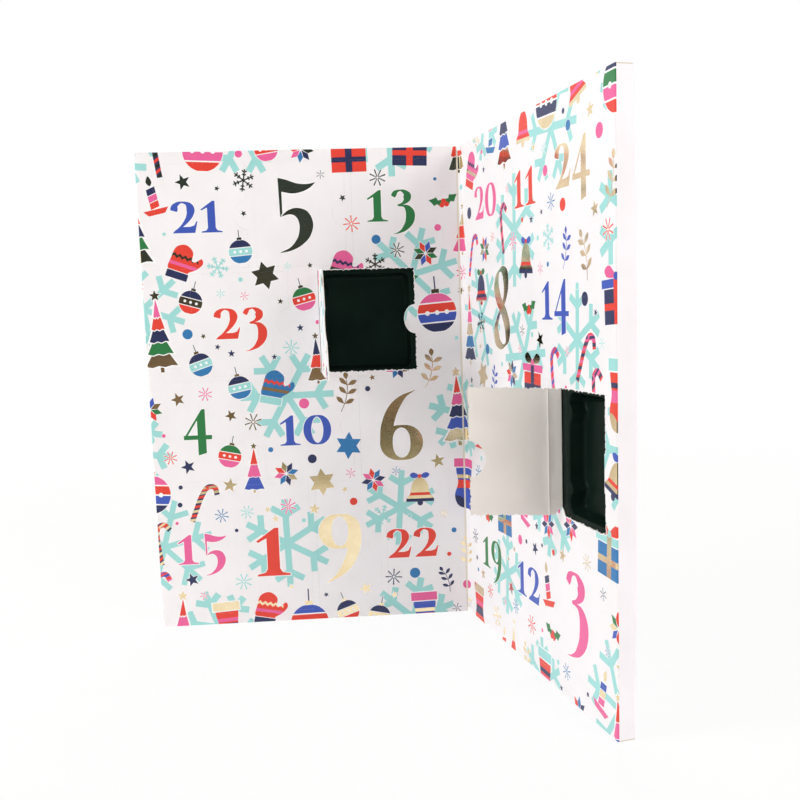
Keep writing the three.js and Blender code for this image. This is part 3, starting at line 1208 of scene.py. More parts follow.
    def small(self, dice: random.Random) -> list[Motif]:
        """The small stars, bursts, flakes and spots that fill the gaps."""
        chosen = inks_of("ffnpctb")
        return [
            *(Ornaments.burst(dice.uniform(5, 6.5), 8, dice.choice(chosen)) for _ in range(26)),
            *(Ornaments.spangle(dice.uniform(4.5, 6), 5, dice.choice(chosen[:3])) for _ in range(20)),
            *(Ornaments.spot(dice.uniform(2.5, 4.2), dice.choice(chosen[2:])) for _ in range(22)),
            *(Ornaments.burst(dice.uniform(3, 4), 6, dice.choice(chosen)) for _ in range(26)),
            *(Ornaments.spangle(dice.uniform(2.2, 3), 5, dice.choice(chosen[:3])) for _ in range(36)),
            *(Ornaments.spot(dice.uniform(1.2, 2), dice.choice(chosen[2:])) for _ in range(36)),
        ]

    def lay_out(self) -> None:
        """Draws the flakes, the numbers and the motifs between them."""
        dice = random.Random(self.seed)
        under: list[Circle] = []
        count = self.strew(dice, self.flakes(dice), under, least=0.0, tries=80, lean=30, bleed=15)
        log.info("print: %d large snowflakes", count)
        numbers = self.numbers()
        for motif in numbers:
            self.taken += motif.room
        for name, motifs, least, tries, lean in (
            ("large", self.large(dice), 1.0, 160, 4.0),
            ("middling", self.middling(dice), 1.4, 160, 20.0),
            ("small", self.small(dice), 1.0, 90, 30.0),
        ):
            count = self.strew(dice, motifs, self.taken, least, tries, lean)
            log.info("print: %d %s motifs of %d", count, name, len(motifs))
        for motif in numbers:
            self.patches += motif.inked()
        # A beige line along the left fold: partly the bared crease, partly painted shade where the fold is
        # concave.
        fold, (before, past) = self.width + self.fold_gap, self.crease
        self.patches.append(Patch(block(fold - before, -1, fold + past, self.height + 1), Ink.CREASE))

    def over(self, left: float, right: float, bottom: float, top: float) -> list[Patch]:
        """The patches that reach into a box of the spread."""
        low, high = np.array([left, bottom]), np.array([right, top])
        return [
            p for p in self.patches if (p.points.max(0) > low).all() and (p.points.min(0) < high).all()
        ]


@dataclass
class Sheet:
    """A printed sheet of board: cut to an outline, with holes, inked, bent and given its thickness.

    Attributes:
        name: The piece's name.
        outline: Its outline in its half's frame.
        bend: Carries points across, up and deep in the sheet to their place in the half's frame.
        shift: Where the half's left edge lies across the spread.
        holes: The outlines of its holes.
        creases: Lines along which it can bend.
        extra: Inked areas of its own, over the print.
        thickness: The board's thickness.
        map_front: Where the printed face starts and ends across the map.
        map_back: Where the back does.
        map_edge: Where the edges do.
        map_size: How much of the map's height the two faces take.
        map_margin: What stays free below them and at their side.
        sharp: The least angle of an edge that stays sharp, in degrees.
    """

    name: str
    outline: np.ndarray
    bend: Bend
    shift: float
    holes: list[np.ndarray] = field(default_factory=list)
    creases: list[np.ndarray] = field(default_factory=list)
    extra: list[Patch] = field(default_factory=list)
    thickness: float = 0.5
    map_front: tuple[float, float] = (0.0, 0.76)
    map_back: tuple[float, float] = (0.77, 0.97)
    map_edge: tuple[float, float] = (0.98, 1.0)
    map_size: float = 0.996
    map_margin: float = 0.002
    sharp: float = 35.0

    def cut(self, patches: Sequence[Patch]) -> tuple[np.ndarray, np.ndarray, np.ndarray]:
        """Cuts the sheet into triangles along its outlines and those of its inks.

        Args:
            patches: The inked areas that reach over it, later ones on top.

        Returns:
            The points, the triangles and each triangle's ink.
        """
        shift = np.array([self.shift, 0.0])
        drawn = [(p.points - shift, p.ink, None if p.mask is None else p.mask - shift) for p in patches]
        loops = [self.outline, *self.holes, *(points for points, _, _ in drawn)]
        loops += [mask for _, _, mask in drawn if mask is not None]
        points, edges, _ = traced(loops)
        for crease in self.creases:
            edges.append((len(points), len(points) + 1))
            points += [Vector(p) for p in crease]
        found, _, faces, *_ = delaunay_2d_cdt(points, edges, [], 0, MERGE_REACH, False)
        at, triangles = np.array([tuple(p) for p in found]), np.array(faces)
        middle = at[triangles].mean(1)
        kept = left_over(middle, self.outline, self.holes)
        triangles, middle = triangles[kept], middle[kept]
        inks = np.full(len(triangles), Ink.BOARD.value)
        for outline, ink, mask in drawn:
            covered = within(middle, outline)
            if mask is not None:
                covered &= within(middle, mask)
            inks[covered] = ink.value
        used, places = np.unique(triangles, return_inverse=True)
        return at[used], places.reshape(-1, 3), inks

    def rim(self, triangles: np.ndarray) -> np.ndarray:
        """The sheet's edges, each as the two points at its ends, with the sheet on their left."""
        sides = np.concatenate([triangles[:, [0, 1]], triangles[:, [1, 2]], triangles[:, [2, 0]]])
        span = int(triangles.max()) + 1
        forward, backward = sides[:, 0] * span + sides[:, 1], sides[:, 1] * span + sides[:, 0]
        return sides[~np.isin(forward, backward)]

    def mapped(self, at: np.ndarray, triangles: np.ndarray, rim: np.ndarray) -> np.ndarray:
        """Lays the printed face, the back and the edges out on a flat map.

        Args:
            at: The sheet's points.
            triangles: Its triangles.
            rim: Its edges.

        Returns:
            The place on the map of each corner of each face.
        """
        low, size = at.min(0), np.ptp(at, axis=0)
        flat = (at - low) / size
        faces = []
        for (start, end), order in ((self.map_front, (0, 1, 2)), (self.map_back, (2, 1, 0))):
            corner = flat[triangles[:, order]].reshape(-1, 2)
            faces.append(corner * (end - start, self.map_size) + (start, self.map_margin))
        share = np.arange(len(rim) + 1) / (len(rim) + 1)
        low_u, high_u = self.map_edge
        strips = np.array([
            [(low_u, b), (low_u, a), (high_u, a), (high_u, b)] for a, b in zip(share, share[1:], strict=False)
        ])
        return np.vstack([*faces, strips.reshape(-1, 2)])

    def build(self, art: Artwork, inks: Sequence[bpy.types.Material], place: Matrix) -> bpy.types.Object:
        """Makes the sheet's object.

        Args:
            art: The print.
            inks: The materials, in the order of the inks.
            place: Where the half stands.

        Returns:
            The finished piece.
        """
        left, bottom = self.outline.min(0)
        right, top = self.outline.max(0)
        patches = art.over(left + self.shift, right + self.shift, bottom, top) + self.extra
        at, triangles, colours = self.cut(patches)
        rim = self.rim(triangles)
        count = len(at)
        faces = [tuple(t) for t in triangles]
        faces += [tuple(t[::-1] + count) for t in triangles]
        faces += [(b, a, a + count, b + count) for a, b in rim]
        depth = np.r_[np.zeros(count), np.full(count, self.thickness)]
        x, y, z = self.bend(np.tile(at[:, 0], 2), np.tile(at[:, 1], 2), depth)
        mesh = bpy.data.meshes.new(self.name)
        mesh.from_pydata(np.c_[x, y, z] * MM, [], faces)
        shown = sorted({*colours.tolist(), Ink.INSIDE.value, Ink.EDGE.value})
        slots = {ink: slot for slot, ink in enumerate(shown)}
        for ink in shown:
            mesh.materials.append(inks[ink])
        chosen = [slots[c] for c in colours.tolist()]
        chosen += [slots[Ink.INSIDE.value]] * len(triangles) + [slots[Ink.EDGE.value]] * len(rim)
        mesh.polygons.foreach_set("material_index", chosen)
        layer = mesh.uv_layers.new(name="OFBake")
        layer.data.foreach_set("uv", self.mapped(at, triangles, rim).ravel())
        mesh.shade_smooth()
        mesh.set_sharp_from_angle(angle=math.radians(self.sharp))
        mesh.transform(place)
        mesh.update()
        piece = add_object(self.name, mesh)
        log.info("%s: %d faces, %d patches", self.name, len(faces), len(patches))
        return piece


def flat(across: np.ndarray, up: np.ndarray, deep: np.ndarray) -> tuple[np.ndarray, ...]:
    """Leaves a sheet flat in the plane of its half's printed face."""
    return across, deep, up


@dataclass(frozen=True)
class RolledEdge:
    """A sheet whose outer edge rolls back over the side wall.

    Attributes:
        start: Where the roll starts across the sheet.
        side: 1 where it rolls at the right edge and -1 at the left.
        radius: The roll's outer radius.
    """

    start: float
    side: int
    radius: float = 0.8

    def length(self) -> float:
        """How long the roll is along the sheet."""
        return self.radius * math.pi / 2

    def __call__(self, across: np.ndarray, up: np.ndarray, deep: np.ndarray) -> tuple[np.ndarray, ...]:
        """Bends points as the sheet bends."""
        past = np.maximum((across - self.start) * self.side, 0)
        angle = past / self.radius
        inner = self.radius - deep
        x = np.where(past > 0, self.start + self.side * inner * np.sin(angle), across)
        y = np.where(past > 0, self.radius - inner * np.cos(angle), deep)
        return x, y, up


@dataclass(frozen=True)
class PushedTab:
    """A finger tab that was pushed in, so that it curls back over the edge of its pocket.

    Attributes:
        rest: How the sheet bends elsewhere.
        free: The free edge of the door that the tab held.
        bottom: The opening's lower edge.
        top: The opening's upper edge.
        reach: How long the tab is.
        first: How far it leans in from the start, in degrees.
        last: How far it leans in after its curl, in degrees.
        curl: Where along the tab the curl starts and ends.
        marks: At how many places along the tab its curl is worked out.
        margin: How far the tab stays from the opening's ends.
    """

    rest: Bend
    free: float
    bottom: float
    top: float
    reach: float = 10.0
    first: float = 14.0
    last: float = 78.0
    curl: tuple[float, float] = (1.5, 5.0)
    marks: int = 101
    margin: float = 1.0

    def __call__(self, across: np.ndarray, up: np.ndarray, deep: np.ndarray) -> tuple[np.ndarray, ...]:
        """Bends points as the sheet and its tab bend."""
        x, y, z = self.rest(across, up, deep)
        steps = np.linspace(0, self.reach, self.marks)
        angles = np.radians(np.interp(steps, self.curl, (self.first, self.last)))
        pace = steps[1]
        over = np.concatenate([[0], np.cumsum(np.cos(angles[:-1])) * pace])
        down = np.concatenate([[0], np.cumsum(np.sin(angles[:-1])) * pace])
        along = self.free - across
        inside = (up > self.bottom + self.margin) & (up < self.top - self.margin)
        tab = (along > 0) & (along < self.reach) & inside
        lean = np.interp(along, steps, angles)
        curled_x = self.free - np.interp(along, steps, over) + deep * np.sin(lean)
        curled_y = np.interp(along, steps, down) + deep * np.cos(lean)
        return np.where(tab, curled_x, x), np.where(tab, curled_y, y), z


@dataclass(frozen=True)
class BeadedStrip:
    """A strip with a raised bead along each fold line.

    Attributes:
        width: The strip's width.
        height: How far the first bead stands out.
        inset: How far its crest lies from the fold.
        spread: How wide it is.
        second_share: How high the second bead is, as a share of the first.
    """

    width: float
    height: float
    inset: float
    spread: float
    second_share: float = 0.3

    def __call__(self, across: np.ndarray, up: np.ndarray, deep: np.ndarray) -> tuple[np.ndarray, ...]:
        """Bends points as the strip bends."""
        near = np.exp(-(((across - self.inset) / self.spread) ** 2))
        far = np.exp(-(((self.width - self.inset - across) / self.spread) ** 2))
        return across, deep - self.height * (near + self.second_share * far), up


@dataclass(frozen=True)
class OpenBend:
    """A door leaf that has been folded open: cocked at its two creases, curled, twisted and turned.

    Attributes:
        hinge: Where its hinge line lies across the half.
        bottom: Its lower edge.
        top: Its upper edge.
        degrees: How far it stands open.
        score: How far the second crease lies from the hinge.
        cock: How far the leaf leans out between the creases, in degrees.
        curl: How far its middle bows, in millimetres.
        twist: How much further it stands open at the top than at the bottom, in degrees.
        droop: How far the free edge hangs lower than the hinge, in millimetres.
        bead: How far the crease is pressed out on the inner side.
        bead_width: How wide it is.
        width: The leaf's width.
        lift: How far the fold line lies in front of the printed face.
    """

    hinge: float
    bottom: float
    top: float
    degrees: float
    width: float
    score: float = 7.4
    cock: float = 5.0
    curl: float = 0.6
    twist: float = 0.0
    droop: float = 0.0
    bead: float = 0.3
    bead_width: float = 0.42
    lift: float = 0.15

    def __call__(self, across: np.ndarray, up: np.ndarray, deep: np.ndarray) -> tuple[np.ndarray, ...]:
        """Bends points as the leaf bends."""
        along = across - self.hinge
        peak = self.score * math.tan(math.radians(self.cock))
        rest = np.clip((along - self.score) / (self.width - self.score), 0, 1)
        bow = np.where(along < self.score, along / self.score * peak, peak * (1 - rest))
        bow = np.maximum(bow, 0) + self.curl * np.sin(np.pi * rest)
        crease = self.bead * np.exp(-(((along - self.score) / self.bead_width) ** 2))
        y = deep - bow + crease + self.lift
        high = (up - self.bottom) / (self.top - self.bottom) - 0.5
        angle = -np.radians(self.degrees + self.twist * high)
        x = along * np.cos(angle) - y * np.sin(angle)
        turned = along * np.sin(angle) + y * np.cos(angle)
        return x + self.hinge, turned - self.lift, up - self.droop * along / self.width


@dataclass(frozen=True)
class DoorCut:
    """The cut of a door: straight at the hinge, perforated on three sides, round at the finger tab.

    Attributes:
        number: The door's number.
        hinge: Its hinge edge.
        free: Its free edge.
        bottom: Its lower edge.
        top: Its upper edge.
        corner: How far across and up its lower hinge corner tore away and stayed with the front.
        tab_drop: How far the finger tab lies below the door's middle.
        tab_radius: The finger tab's radius.
        tab_set_back: How far its centre lies past the free edge.
        pitch: How far the nicks of the perforation lie apart.
        tag: How far a torn tag reaches at most.
        gap: How far the door's own outline lies inside the opening's.
        nick_shift: How far a nick may stray, as a share of the pitch.
        nick_half: The least and the greatest half length of a nick.
        tag_share: The least and the greatest share of a tag's reach.
        arc_points: How many points the finger tab's outline has.
        corner_rise: How high the torn corner's tear lies halfway, as a share of its height.
        corner_margin: How far its bare board reaches past it.
        tear_width: How far the bare board reaches past the tear.
        fibre_width: The least and the greatest width of the bare fibres.
        fibre_seed: What sets the chances of the fibres apart from those of the cut.
    """

    number: int
    hinge: float
    free: float
    bottom: float
    top: float
    corner: tuple[float, float] = (0.0, 0.0)
    tab_drop: float = 0.0
    tab_radius: float = 11.0
    tab_set_back: float = 1.5
    pitch: float = 4.2
    tag: float = 0.8
    gap: float = 0.045
    nick_shift: float = 0.08
    nick_half: tuple[float, float] = (0.5, 0.95)
    tag_share: tuple[float, float] = (0.4, 1.0)
    arc_points: int = 19
    corner_rise: float = 0.6
    corner_margin: float = 0.6
    tear_width: float = 0.5
    fibre_width: tuple[float, float] = (0.7, 1.5)
    fibre_seed: int = 100

    def torn(self, start: Sequence[float], end: Sequence[float], dice: random.Random) -> list[np.ndarray]:
        """A perforated side: a straight cut with a small torn tag at each nick.

        Args:
            start: Where the side starts.
            end: Where it ends.
            dice: Where the tags' unevenness comes from.

        Returns:
            The points of the side, without its end.
        """
        a, b = np.asarray(start, float), np.asarray(end, float)
        length = float(np.hypot(*(b - a)))
        along = (b - a) / length
        inward = np.array([-along[1], along[0]])
        count = max(1, round(length / self.pitch))
        points = [a]
        for k in range(count):
            middle = (k + 0.5 + dice.uniform(-self.nick_shift, self.nick_shift)) * length / count
            half = dice.uniform(*self.nick_half)
            deep = self.tag * dice.uniform(*self.tag_share) * dice.choice((1, 1, -1))
            for step, reach in ((-half, 0), (-half * 0.5, deep), (half * 0.4, deep * 0.8), (half, 0)):
                points.append(a + along * (middle + step) + inward * reach)
        return points

    def tab_middle(self) -> float:
        """How high the middle of the finger tab lies."""
        return (self.bottom + self.top) / 2 - self.tab_drop

    def outline(self) -> np.ndarray:
        """The opening's outline, anticlockwise from the foot of the hinge."""
        dice = random.Random(self.number)
        centre = self.free + self.tab_set_back
        middle = self.tab_middle()
        swing = math.acos(self.tab_set_back / self.tab_radius)
        angles = np.linspace(math.pi + swing, math.pi - swing, self.arc_points)
        arc = np.c_[
            centre + self.tab_radius * np.cos(angles), middle + self.tab_radius * np.sin(angles)
        ]
        across, up = self.corner
        tear = [
            (self.hinge, self.bottom + up),
            (self.hinge + across / 2, self.bottom + up * self.corner_rise),
        ]
        points = [
            *self.torn((self.hinge + across, self.bottom), (self.free, self.bottom), dice),
            *self.torn((self.free, self.bottom), arc[0], dice),
            *arc[:-1],
            *self.torn(arc[-1], (self.free, self.top), dice),
            *self.torn((self.free, self.top), (self.hinge, self.top), dice),
            (self.hinge, self.top),
            *(tear if up else []),
        ]
        return ring(np.array([tuple(p) for p in points]))

    def bare_corner(self, shift: float) -> list[Patch]:
        """The bare board on the torn corner, if there is one."""
        across, up = self.corner
        if not up:
            return []
        edge, tear = self.corner_margin, self.tear_width
        points = [
            (-edge, up + edge), (-edge, -edge), (across + edge, -edge),
            (across / 2 + tear, up * self.corner_rise + tear),
        ]
        return [Patch(ring(points) + (self.hinge + shift, self.bottom), Ink.KEYLINE)]

    def leaf(self) -> np.ndarray:
        """The door's own outline, a hair inside the opening's."""
        return grown(self.outline(), -self.gap)

    def fibres(self, shift: float) -> Patch:
        """The bare fibres that show along the torn outline once the door is open.

        Args:
            shift: Where the half's left edge lies across the spread.

        Returns:
            The band of fibres.
        """
        dice = random.Random(self.number + self.fibre_seed)
        line = self.outline() + (shift, 0)
        widths = np.array([dice.uniform(*self.fibre_width) for _ in line])
        return Patch(stroke(line, widths, closed=True), Ink.KEYLINE)


@dataclass(frozen=True)
class DoorRow:
    """A row of doors: their numbers, their widths, the gap between them and their height."""

    numbers: tuple[int, ...]
    widths: tuple[float, ...]
    gap: float
    height: float


@dataclass
class Carton:
    """One half of the calendar: its printed front, its doors and its tray, in the half's own frame.

    Attributes:
        half: Which half it is.
        width: Its width.
        height: Its height.
        end_margin: The frame below the lowest row and above the highest.
        row_gap: The frame between two rows.
        fold_gap: How far the fold line lies from the face.
        open_angle: How far the two faces stand apart, in degrees.
        roll_steps: How many lines bend the roll of the outer edge.
        tab_steps: How many lines bend a finger tab.
        leaf_lines: An open leaf's bending lines: the first, where the even ones start, and their gap.
        leaf_rows: How many lines cross them.
        bead_steps: The lines over the crease's bead, in its widths.
        torn_corners: The torn hinge corner of a door, across and up.
        tab_drops: How far a door's finger tab lies below its middle.
    """

    half: Half
    width: float = 232.0
    height: float = 350.0
    end_margin: float = 8.0
    row_gap: float = 3.5
    fold_gap: float = 0.15
    open_angle: float = 101.5
    roll_steps: int = 6
    tab_steps: int = 12
    leaf_lines: tuple[float, float, float] = (2.5, 12.0, 6.0)
    leaf_rows: int = 9
    bead_steps: tuple[float, ...] = (-1.6, -1, -0.5, 0, 0.5, 1, 1.6)
    torn_corners: dict[int, tuple[float, float]] = field(default_factory=lambda: {2: (4.6, 5.2)})
    tab_drops: dict[int, float] = field(default_factory=lambda: {2: 4.4})

    def place(self) -> Matrix:
        """Where the half stands, from the fold line that it hangs on."""
        x, y, _ = fold_place(self.half.value)
        if self.half is Half.LEFT:
            return Matrix.Translation((x - (self.width + self.fold_gap) * MM, y, 0))
        turn = Matrix.Rotation(math.radians(self.open_angle - 180), 4, "Z")
        return Matrix.Translation((x, y, 0)) @ turn @ Matrix.Translation((self.fold_gap * MM, 0, 0))

    def rows(self) -> tuple[DoorRow, ...]:
        """The rows of doors from the bottom up."""
        wide, pair, narrow, slim, medium = 66.0, 71.0, 48.0, 46.0, 54.0
        low, tall = 75.0, 98.5
        if self.half is Half.LEFT:
            return (
                DoorRow((15, 1, 9, 22), (narrow,) * 4, 5.0, tall),
                DoorRow((4, 10, 6), (wide,) * 3, 5.0, low),
                DoorRow((23, 17), (pair,) * 2, 22.0, low),
                DoorRow((21, 5, 13), (wide,) * 3, 5.0, low),
            )
        return (
            DoorRow((19, 12, 3), (wide,) * 3, 5.0, tall),
            DoorRow((16, 7, 18, 2), (slim, slim, slim, medium), 5.0, low),
            DoorRow((8, 14), (pair,) * 2, 22.0, low),
            DoorRow((20, 11, 24), (wide,) * 3, 5.0, low),
        )

    def doors(self) -> list[DoorCut]:
        """Every door of the half."""
        cuts = []
        bottom = self.end_margin
        for row in self.rows():
            hinge = (self.width - sum(row.widths) - row.gap * (len(row.widths) - 1)) / 2
            for number, width in zip(row.numbers, row.widths, strict=True):
                corner, drop = self.torn_corners.get(number, (0.0, 0.0)), self.tab_drops.get(number, 0.0)
                cuts.append(DoorCut(number, hinge, hinge + width, bottom, bottom + row.height, corner, drop))
                hinge += width + row.gap
            bottom += row.height + self.row_gap
        return cuts

    def open_doors(self) -> dict[int, dict[str, float]]:
        """The doors that stand open at rest, with how each leaf is bent."""
        return {
            17: {"degrees": 85.9, "twist": 1.4, "droop": 2.2, "curl": 0.3, "cock": 2.0},
            2: {"degrees": 103.6, "twist": 1.0, "droop": -2.2, "curl": 0.6, "cock": 2.0},
        }

    def pushed_tabs(self) -> dict[int, dict[str, object]]:
        """The finger tabs of the open doors, with how each one is pushed in."""
        return {17: {"first": 12.0, "last": 42.0, "curl": (3.0, 4.5)}, 2: {}}

    def front(self, art: Artwork, wardrobe: Wardrobe) -> bpy.types.Object:
        """Builds the printed front, whose outer edge rolls back to the side wall.

        Args:
            art: The print.
            wardrobe: The materials.

        Returns:
            The front.
        """
        radius = RolledEdge.radius
        past = radius * (math.pi / 2 - 1)
        if self.half is Half.LEFT:
            roll = RolledEdge(radius, -1)
            left, right = -past, self.width + self.fold_gap
        else:
            roll = RolledEdge(self.width - radius, 1)
            left, right = -self.fold_gap, self.width + past
        steps = np.linspace(0, roll.length(), self.roll_steps)[:-1]
        creases = [
            ring([(roll.start + roll.side * step, 0), (roll.start + roll.side * step, self.height)])
            for step in steps
        ]
        cuts = {cut.number: cut for cut in self.doors()}
        bend: Bend = roll
        for number, way in self.pushed_tabs().items():
            if number not in cuts:
                continue
            cut = cuts[number]
            bend = PushedTab(bend, cut.free, cut.bottom, cut.top, **way)
            middle, reach = cut.tab_middle(), cut.tab_radius
            creases += [
                ring([(cut.free - step, middle - reach), (cut.free - step, middle + reach)])
                for step in np.linspace(0, cut.tab_radius - cut.tab_set_back, self.tab_steps)[:-1]
            ]
        start = art.start_of(self.half)
        sheet = Sheet(
            f"{self.half.value}_front_print",
            block(left, 0, right, self.height),
            bend,
            start,
            [cut.outline() for cut in cuts.values()],
            creases,
            extra=[
                patch for n in self.open_doors() if n in cuts
                for patch in (cuts[n].fibres(start), *cuts[n].bare_corner(start))
            ],
        )
        piece = sheet.build(art, wardrobe.inks, self.place())
        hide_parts(f"{self.half.value}_front_panel")
        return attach(piece, f"{self.half.value}_half")

    def leaf(self, cut: DoorCut, art: Artwork, wardrobe: Wardrobe) -> bpy.types.Object:
        """Builds one door, flat where it is shut and bent where it stands open.

        Args:
            cut: The door's cut.
            art: The print.
            wardrobe: The materials.

        Returns:
            The door.
        """
        name = f"door_{cut.number:02d}"
        bend: Bend = flat
        creases, fibres = [], []
        if cut.number in self.open_doors():
            width = cut.free - cut.hinge - self.fold_gap
            bend = OpenBend(
                cut.hinge + self.fold_gap, cut.bottom, cut.top, width=width, **self.open_doors()[cut.number]
            )
            fibres = [cut.fibres(art.start_of(self.half))]
            near = [bend.score + step * bend.bead_width for step in self.bead_steps]
            first, start, gap = self.leaf_lines
            lines = [line + self.fold_gap for line in (first, *near, *np.arange(start, width, gap))]
            creases = [
                ring([(cut.hinge + x, cut.bottom), (cut.hinge + x, cut.top)]) for x in lines
            ]
            rows = np.linspace(cut.bottom, cut.top, self.leaf_rows)[1:-1]
            creases += [ring([(cut.hinge, z), (cut.free, z)]) for z in rows]
        sheet = Sheet(f"{name}_leaf", cut.leaf(), bend, art.start_of(self.half), [], creases, extra=fibres)
        piece = sheet.build(art, wardrobe.inks, self.place())
        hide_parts(name)
        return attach(piece, name)

    def board(self, wardrobe: Wardrobe) -> None:
        """Dresses the shell and the tuck flaps, whose solids stay."""
        for part in ("back_shell", "bottom_flap", "top_flap"):
            node = frame["nodes"][f"{self.half.value}_{part}"]
            node.data.materials.clear()
            node.data.materials.append(wardrobe.shell)
            log.info("%s: dressed", node.name)


@dataclass
class Tray:
    """The vacuum-formed tray of a half: a flange with round-lipped pockets.

    Attributes:
        carton: The half that holds it.
        front: How deep behind the printed face its flange lies.
        floor: How deep a pocket's floor lies.
        sheet: The plastic's thickness.
        draft: How far the walls lean in over their height.
        floor_radius: The round between wall and floor.
        lip: The round between flange and wall.
        corner: The radius of a pocket's corners at its mouth.
        end_margin: How far the flange stays from the carton's ends.
        flange_corner: The radius of the flange's corners.
        narrowing: How much narrower a pocket is than its door.
        shortening: How much shorter it is.
        corner_steps: How many points a round corner has.
        lugs: The bulges that hold the contents, each as its middle and half its length up the hinge
            side, as shares of the pocket's height.
        lug_reach: How far a lug bulges in.
        side_steps: How many points the hinge side of a pocket has.
        round_steps: How many points a round of its wall has.
        corner_clear: How far the lugs keep from its corners, as a share of their radius.
        mouths: How far a pocket starts past its door's hinge and lower edge, in each half.
        sharp: The least angle of an edge that stays sharp, in degrees.
    """

    carton: Carton
    front: float = 0.8
    floor: float = 9.4
    sheet: float = 0.4
    draft: float = 2.2
    floor_radius: float = 2.8
    lip: float = 0.9
    corner: float = 6.0
    end_margin: float = 2.0
    flange_corner: float = 4.0
    narrowing: float = 5.5
    shortening: float = 4.5
    corner_steps: int = 7
    lugs: tuple[tuple[float, float], ...] = ((0.82, 0.1), (0.2, 0.08))
    lug_reach: float = 3.6
    side_steps: int = 36
    round_steps: int = 6
    corner_clear: float = 1.02
    mouths: dict[Half, tuple[float, float]] = field(
        default_factory=lambda: {Half.LEFT: (2.0, 1.5), Half.RIGHT: (9.5, 3.0)}
    )
    sharp: float = 50.0

    def rounded(self, low: tuple[float, float], high: tuple[float, float], radius: float) -> np.ndarray:
        """A rectangle with round corners.

        Args:
            low: Its lower left corner.
            high: Its upper right corner.
            radius: The corners' radius.

        Returns:
            The outline, anticlockwise.
        """
        turns = np.radians(np.linspace(0, 90, self.corner_steps))
        corners = (
            (high[0] - radius, low[1] + radius, -90),
            (high[0] - radius, high[1] - radius, 0),
            (low[0] + radius, high[1] - radius, 90),
            (low[0] + radius, low[1] + radius, 180),
        )
        return np.vstack([
            np.c_[
                x + radius * np.cos(turns + math.radians(start)),
                z + radius * np.sin(turns + math.radians(start)),
            ]
            for x, z, start in corners
        ])

    def profile(self) -> list[tuple[float, float]]:
        """A pocket's side from the flange down to its floor, as how far in and how deep."""
        slope = self.draft / (self.floor - self.floor_radius - self.front)
        steps = np.radians(np.linspace(0, 90, self.round_steps))
        lip = [
            (self.lip * (math.sin(a) - 1), self.front + self.lip * (1 - math.cos(a))) for a in steps
        ]
        mouth = self.lip * slope
        sides = [(inset + mouth, deep) for inset, deep in lip]
        centre = (self.draft + self.floor_radius, self.floor - self.floor_radius)
        floor = [
            (centre[0] - self.floor_radius * math.cos(a), centre[1] + self.floor_radius * math.sin(a))
            for a in steps
        ]
        return [*sides, *floor]

    def pocket(self, cut: DoorCut, inset: float) -> np.ndarray:
        """A pocket's outline, drawn in by an inset."""
        across, up = self.mouths[self.carton.half]
        left, bottom = cut.hinge + across, cut.bottom + up
        right = left + cut.free - cut.hinge - self.narrowing
        top = bottom + cut.top - cut.bottom - self.shortening
        low, high = (left + inset, bottom + inset), (right - inset, top - inset)
        outline = self.rounded(low, high, self.corner - inset)
        tall = top - bottom
        ends = self.corner_clear * self.corner / tall
        up_share = np.linspace(1 - ends, ends, self.side_steps)
        swell = sum(
            np.cos(np.pi / 2 * np.clip(np.abs(up_share - middle) / half, 0, 1)) ** 2
            for middle, half in self.lugs
        )
        side = np.c_[low[0] + self.lug_reach * swell, bottom + up_share * tall]
        turned = 3 * self.corner_steps
        return np.vstack([outline[:turned], side, outline[turned:]])

    def sunk(
        self, cut: DoorCut, before: list[int], places: list[tuple[float, float, float]]
    ) -> list[tuple[int, ...]]:
        """Sinks a pocket from its mouth.

        Args:
            cut: The cut of the door over it.
            before: The points of its mouth.
            places: Where every point of the tray lies, to which the pocket's are added.

        Returns:
            The faces of its wall and its floor.
        """
        faces = []
        for inset, deep in self.profile()[1:]:
            outline = self.pocket(cut, inset)
            now = list(range(len(places), len(places) + len(outline)))
            places += [(x, deep, z) for x, z in outline]
            faces += zip(before, [*before[1:], before[0]], [*now[1:], now[0]], now, strict=True)
            before = now
        return [*faces, tuple(before)]

    def build(self, wardrobe: Wardrobe) -> bpy.types.Object:
        """Builds the tray.

        Args:
            wardrobe: The materials.

        Returns:
            The tray.
        """
        half = self.carton.half.value
        cuts = self.carton.doors()
        flange = self.rounded(
            (self.front, self.end_margin),
            (self.carton.width - self.front, self.carton.height - self.end_margin),
            self.flange_corner,
        )
        mouths = [self.pocket(cut, self.profile()[0][0]) for cut in cuts]
        points, edges, firsts = traced((flange, *mouths))
        found, _, triangles, sources, *_ = delaunay_2d_cdt(points, edges, [], 0, MERGE_REACH, True)
        at, triangles = np.array([tuple(p) for p in found]), np.array(triangles)
        faces = [tuple(t) for t in triangles[left_over(at[triangles].mean(1), flange, mouths)]]
        places = [(x, self.front, z) for x, z in at]
        known = {given: k for k, ids in enumerate(sources) for given in ids}
        for cut, mouth, first in zip(cuts, mouths, firsts[1:], strict=True):
            faces += self.sunk(cut, [known[first + k] for k in range(len(mouth))], places)
        name = f"{half}_tray_form"
        mesh = bpy.data.meshes.new(name)
        mesh.from_pydata([tuple(c * MM for c in p) for p in places], [], faces)
        mesh.materials.append(wardrobe.tray)
        piece = add_object(name, mesh)
        solid = piece.modifiers.new("sheet", "SOLIDIFY")
        solid.thickness = self.sheet * MM
        solid.offset = -1
        solid.use_even_offset = True
        graph = bpy.context.evaluated_depsgraph_get()
        made = bpy.data.meshes.new_from_object(piece.evaluated_get(graph))
        piece.modifiers.clear()
        piece.data = made
        made.name = name
        made.shade_smooth()
        made.set_sharp_from_angle(angle=math.radians(self.sharp))
        made.transform(self.carton.place())
        log.info("%s: %d faces", piece.name, len(made.polygons))
        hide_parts(f"{half}_tray")
        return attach(piece, f"{half}_half")


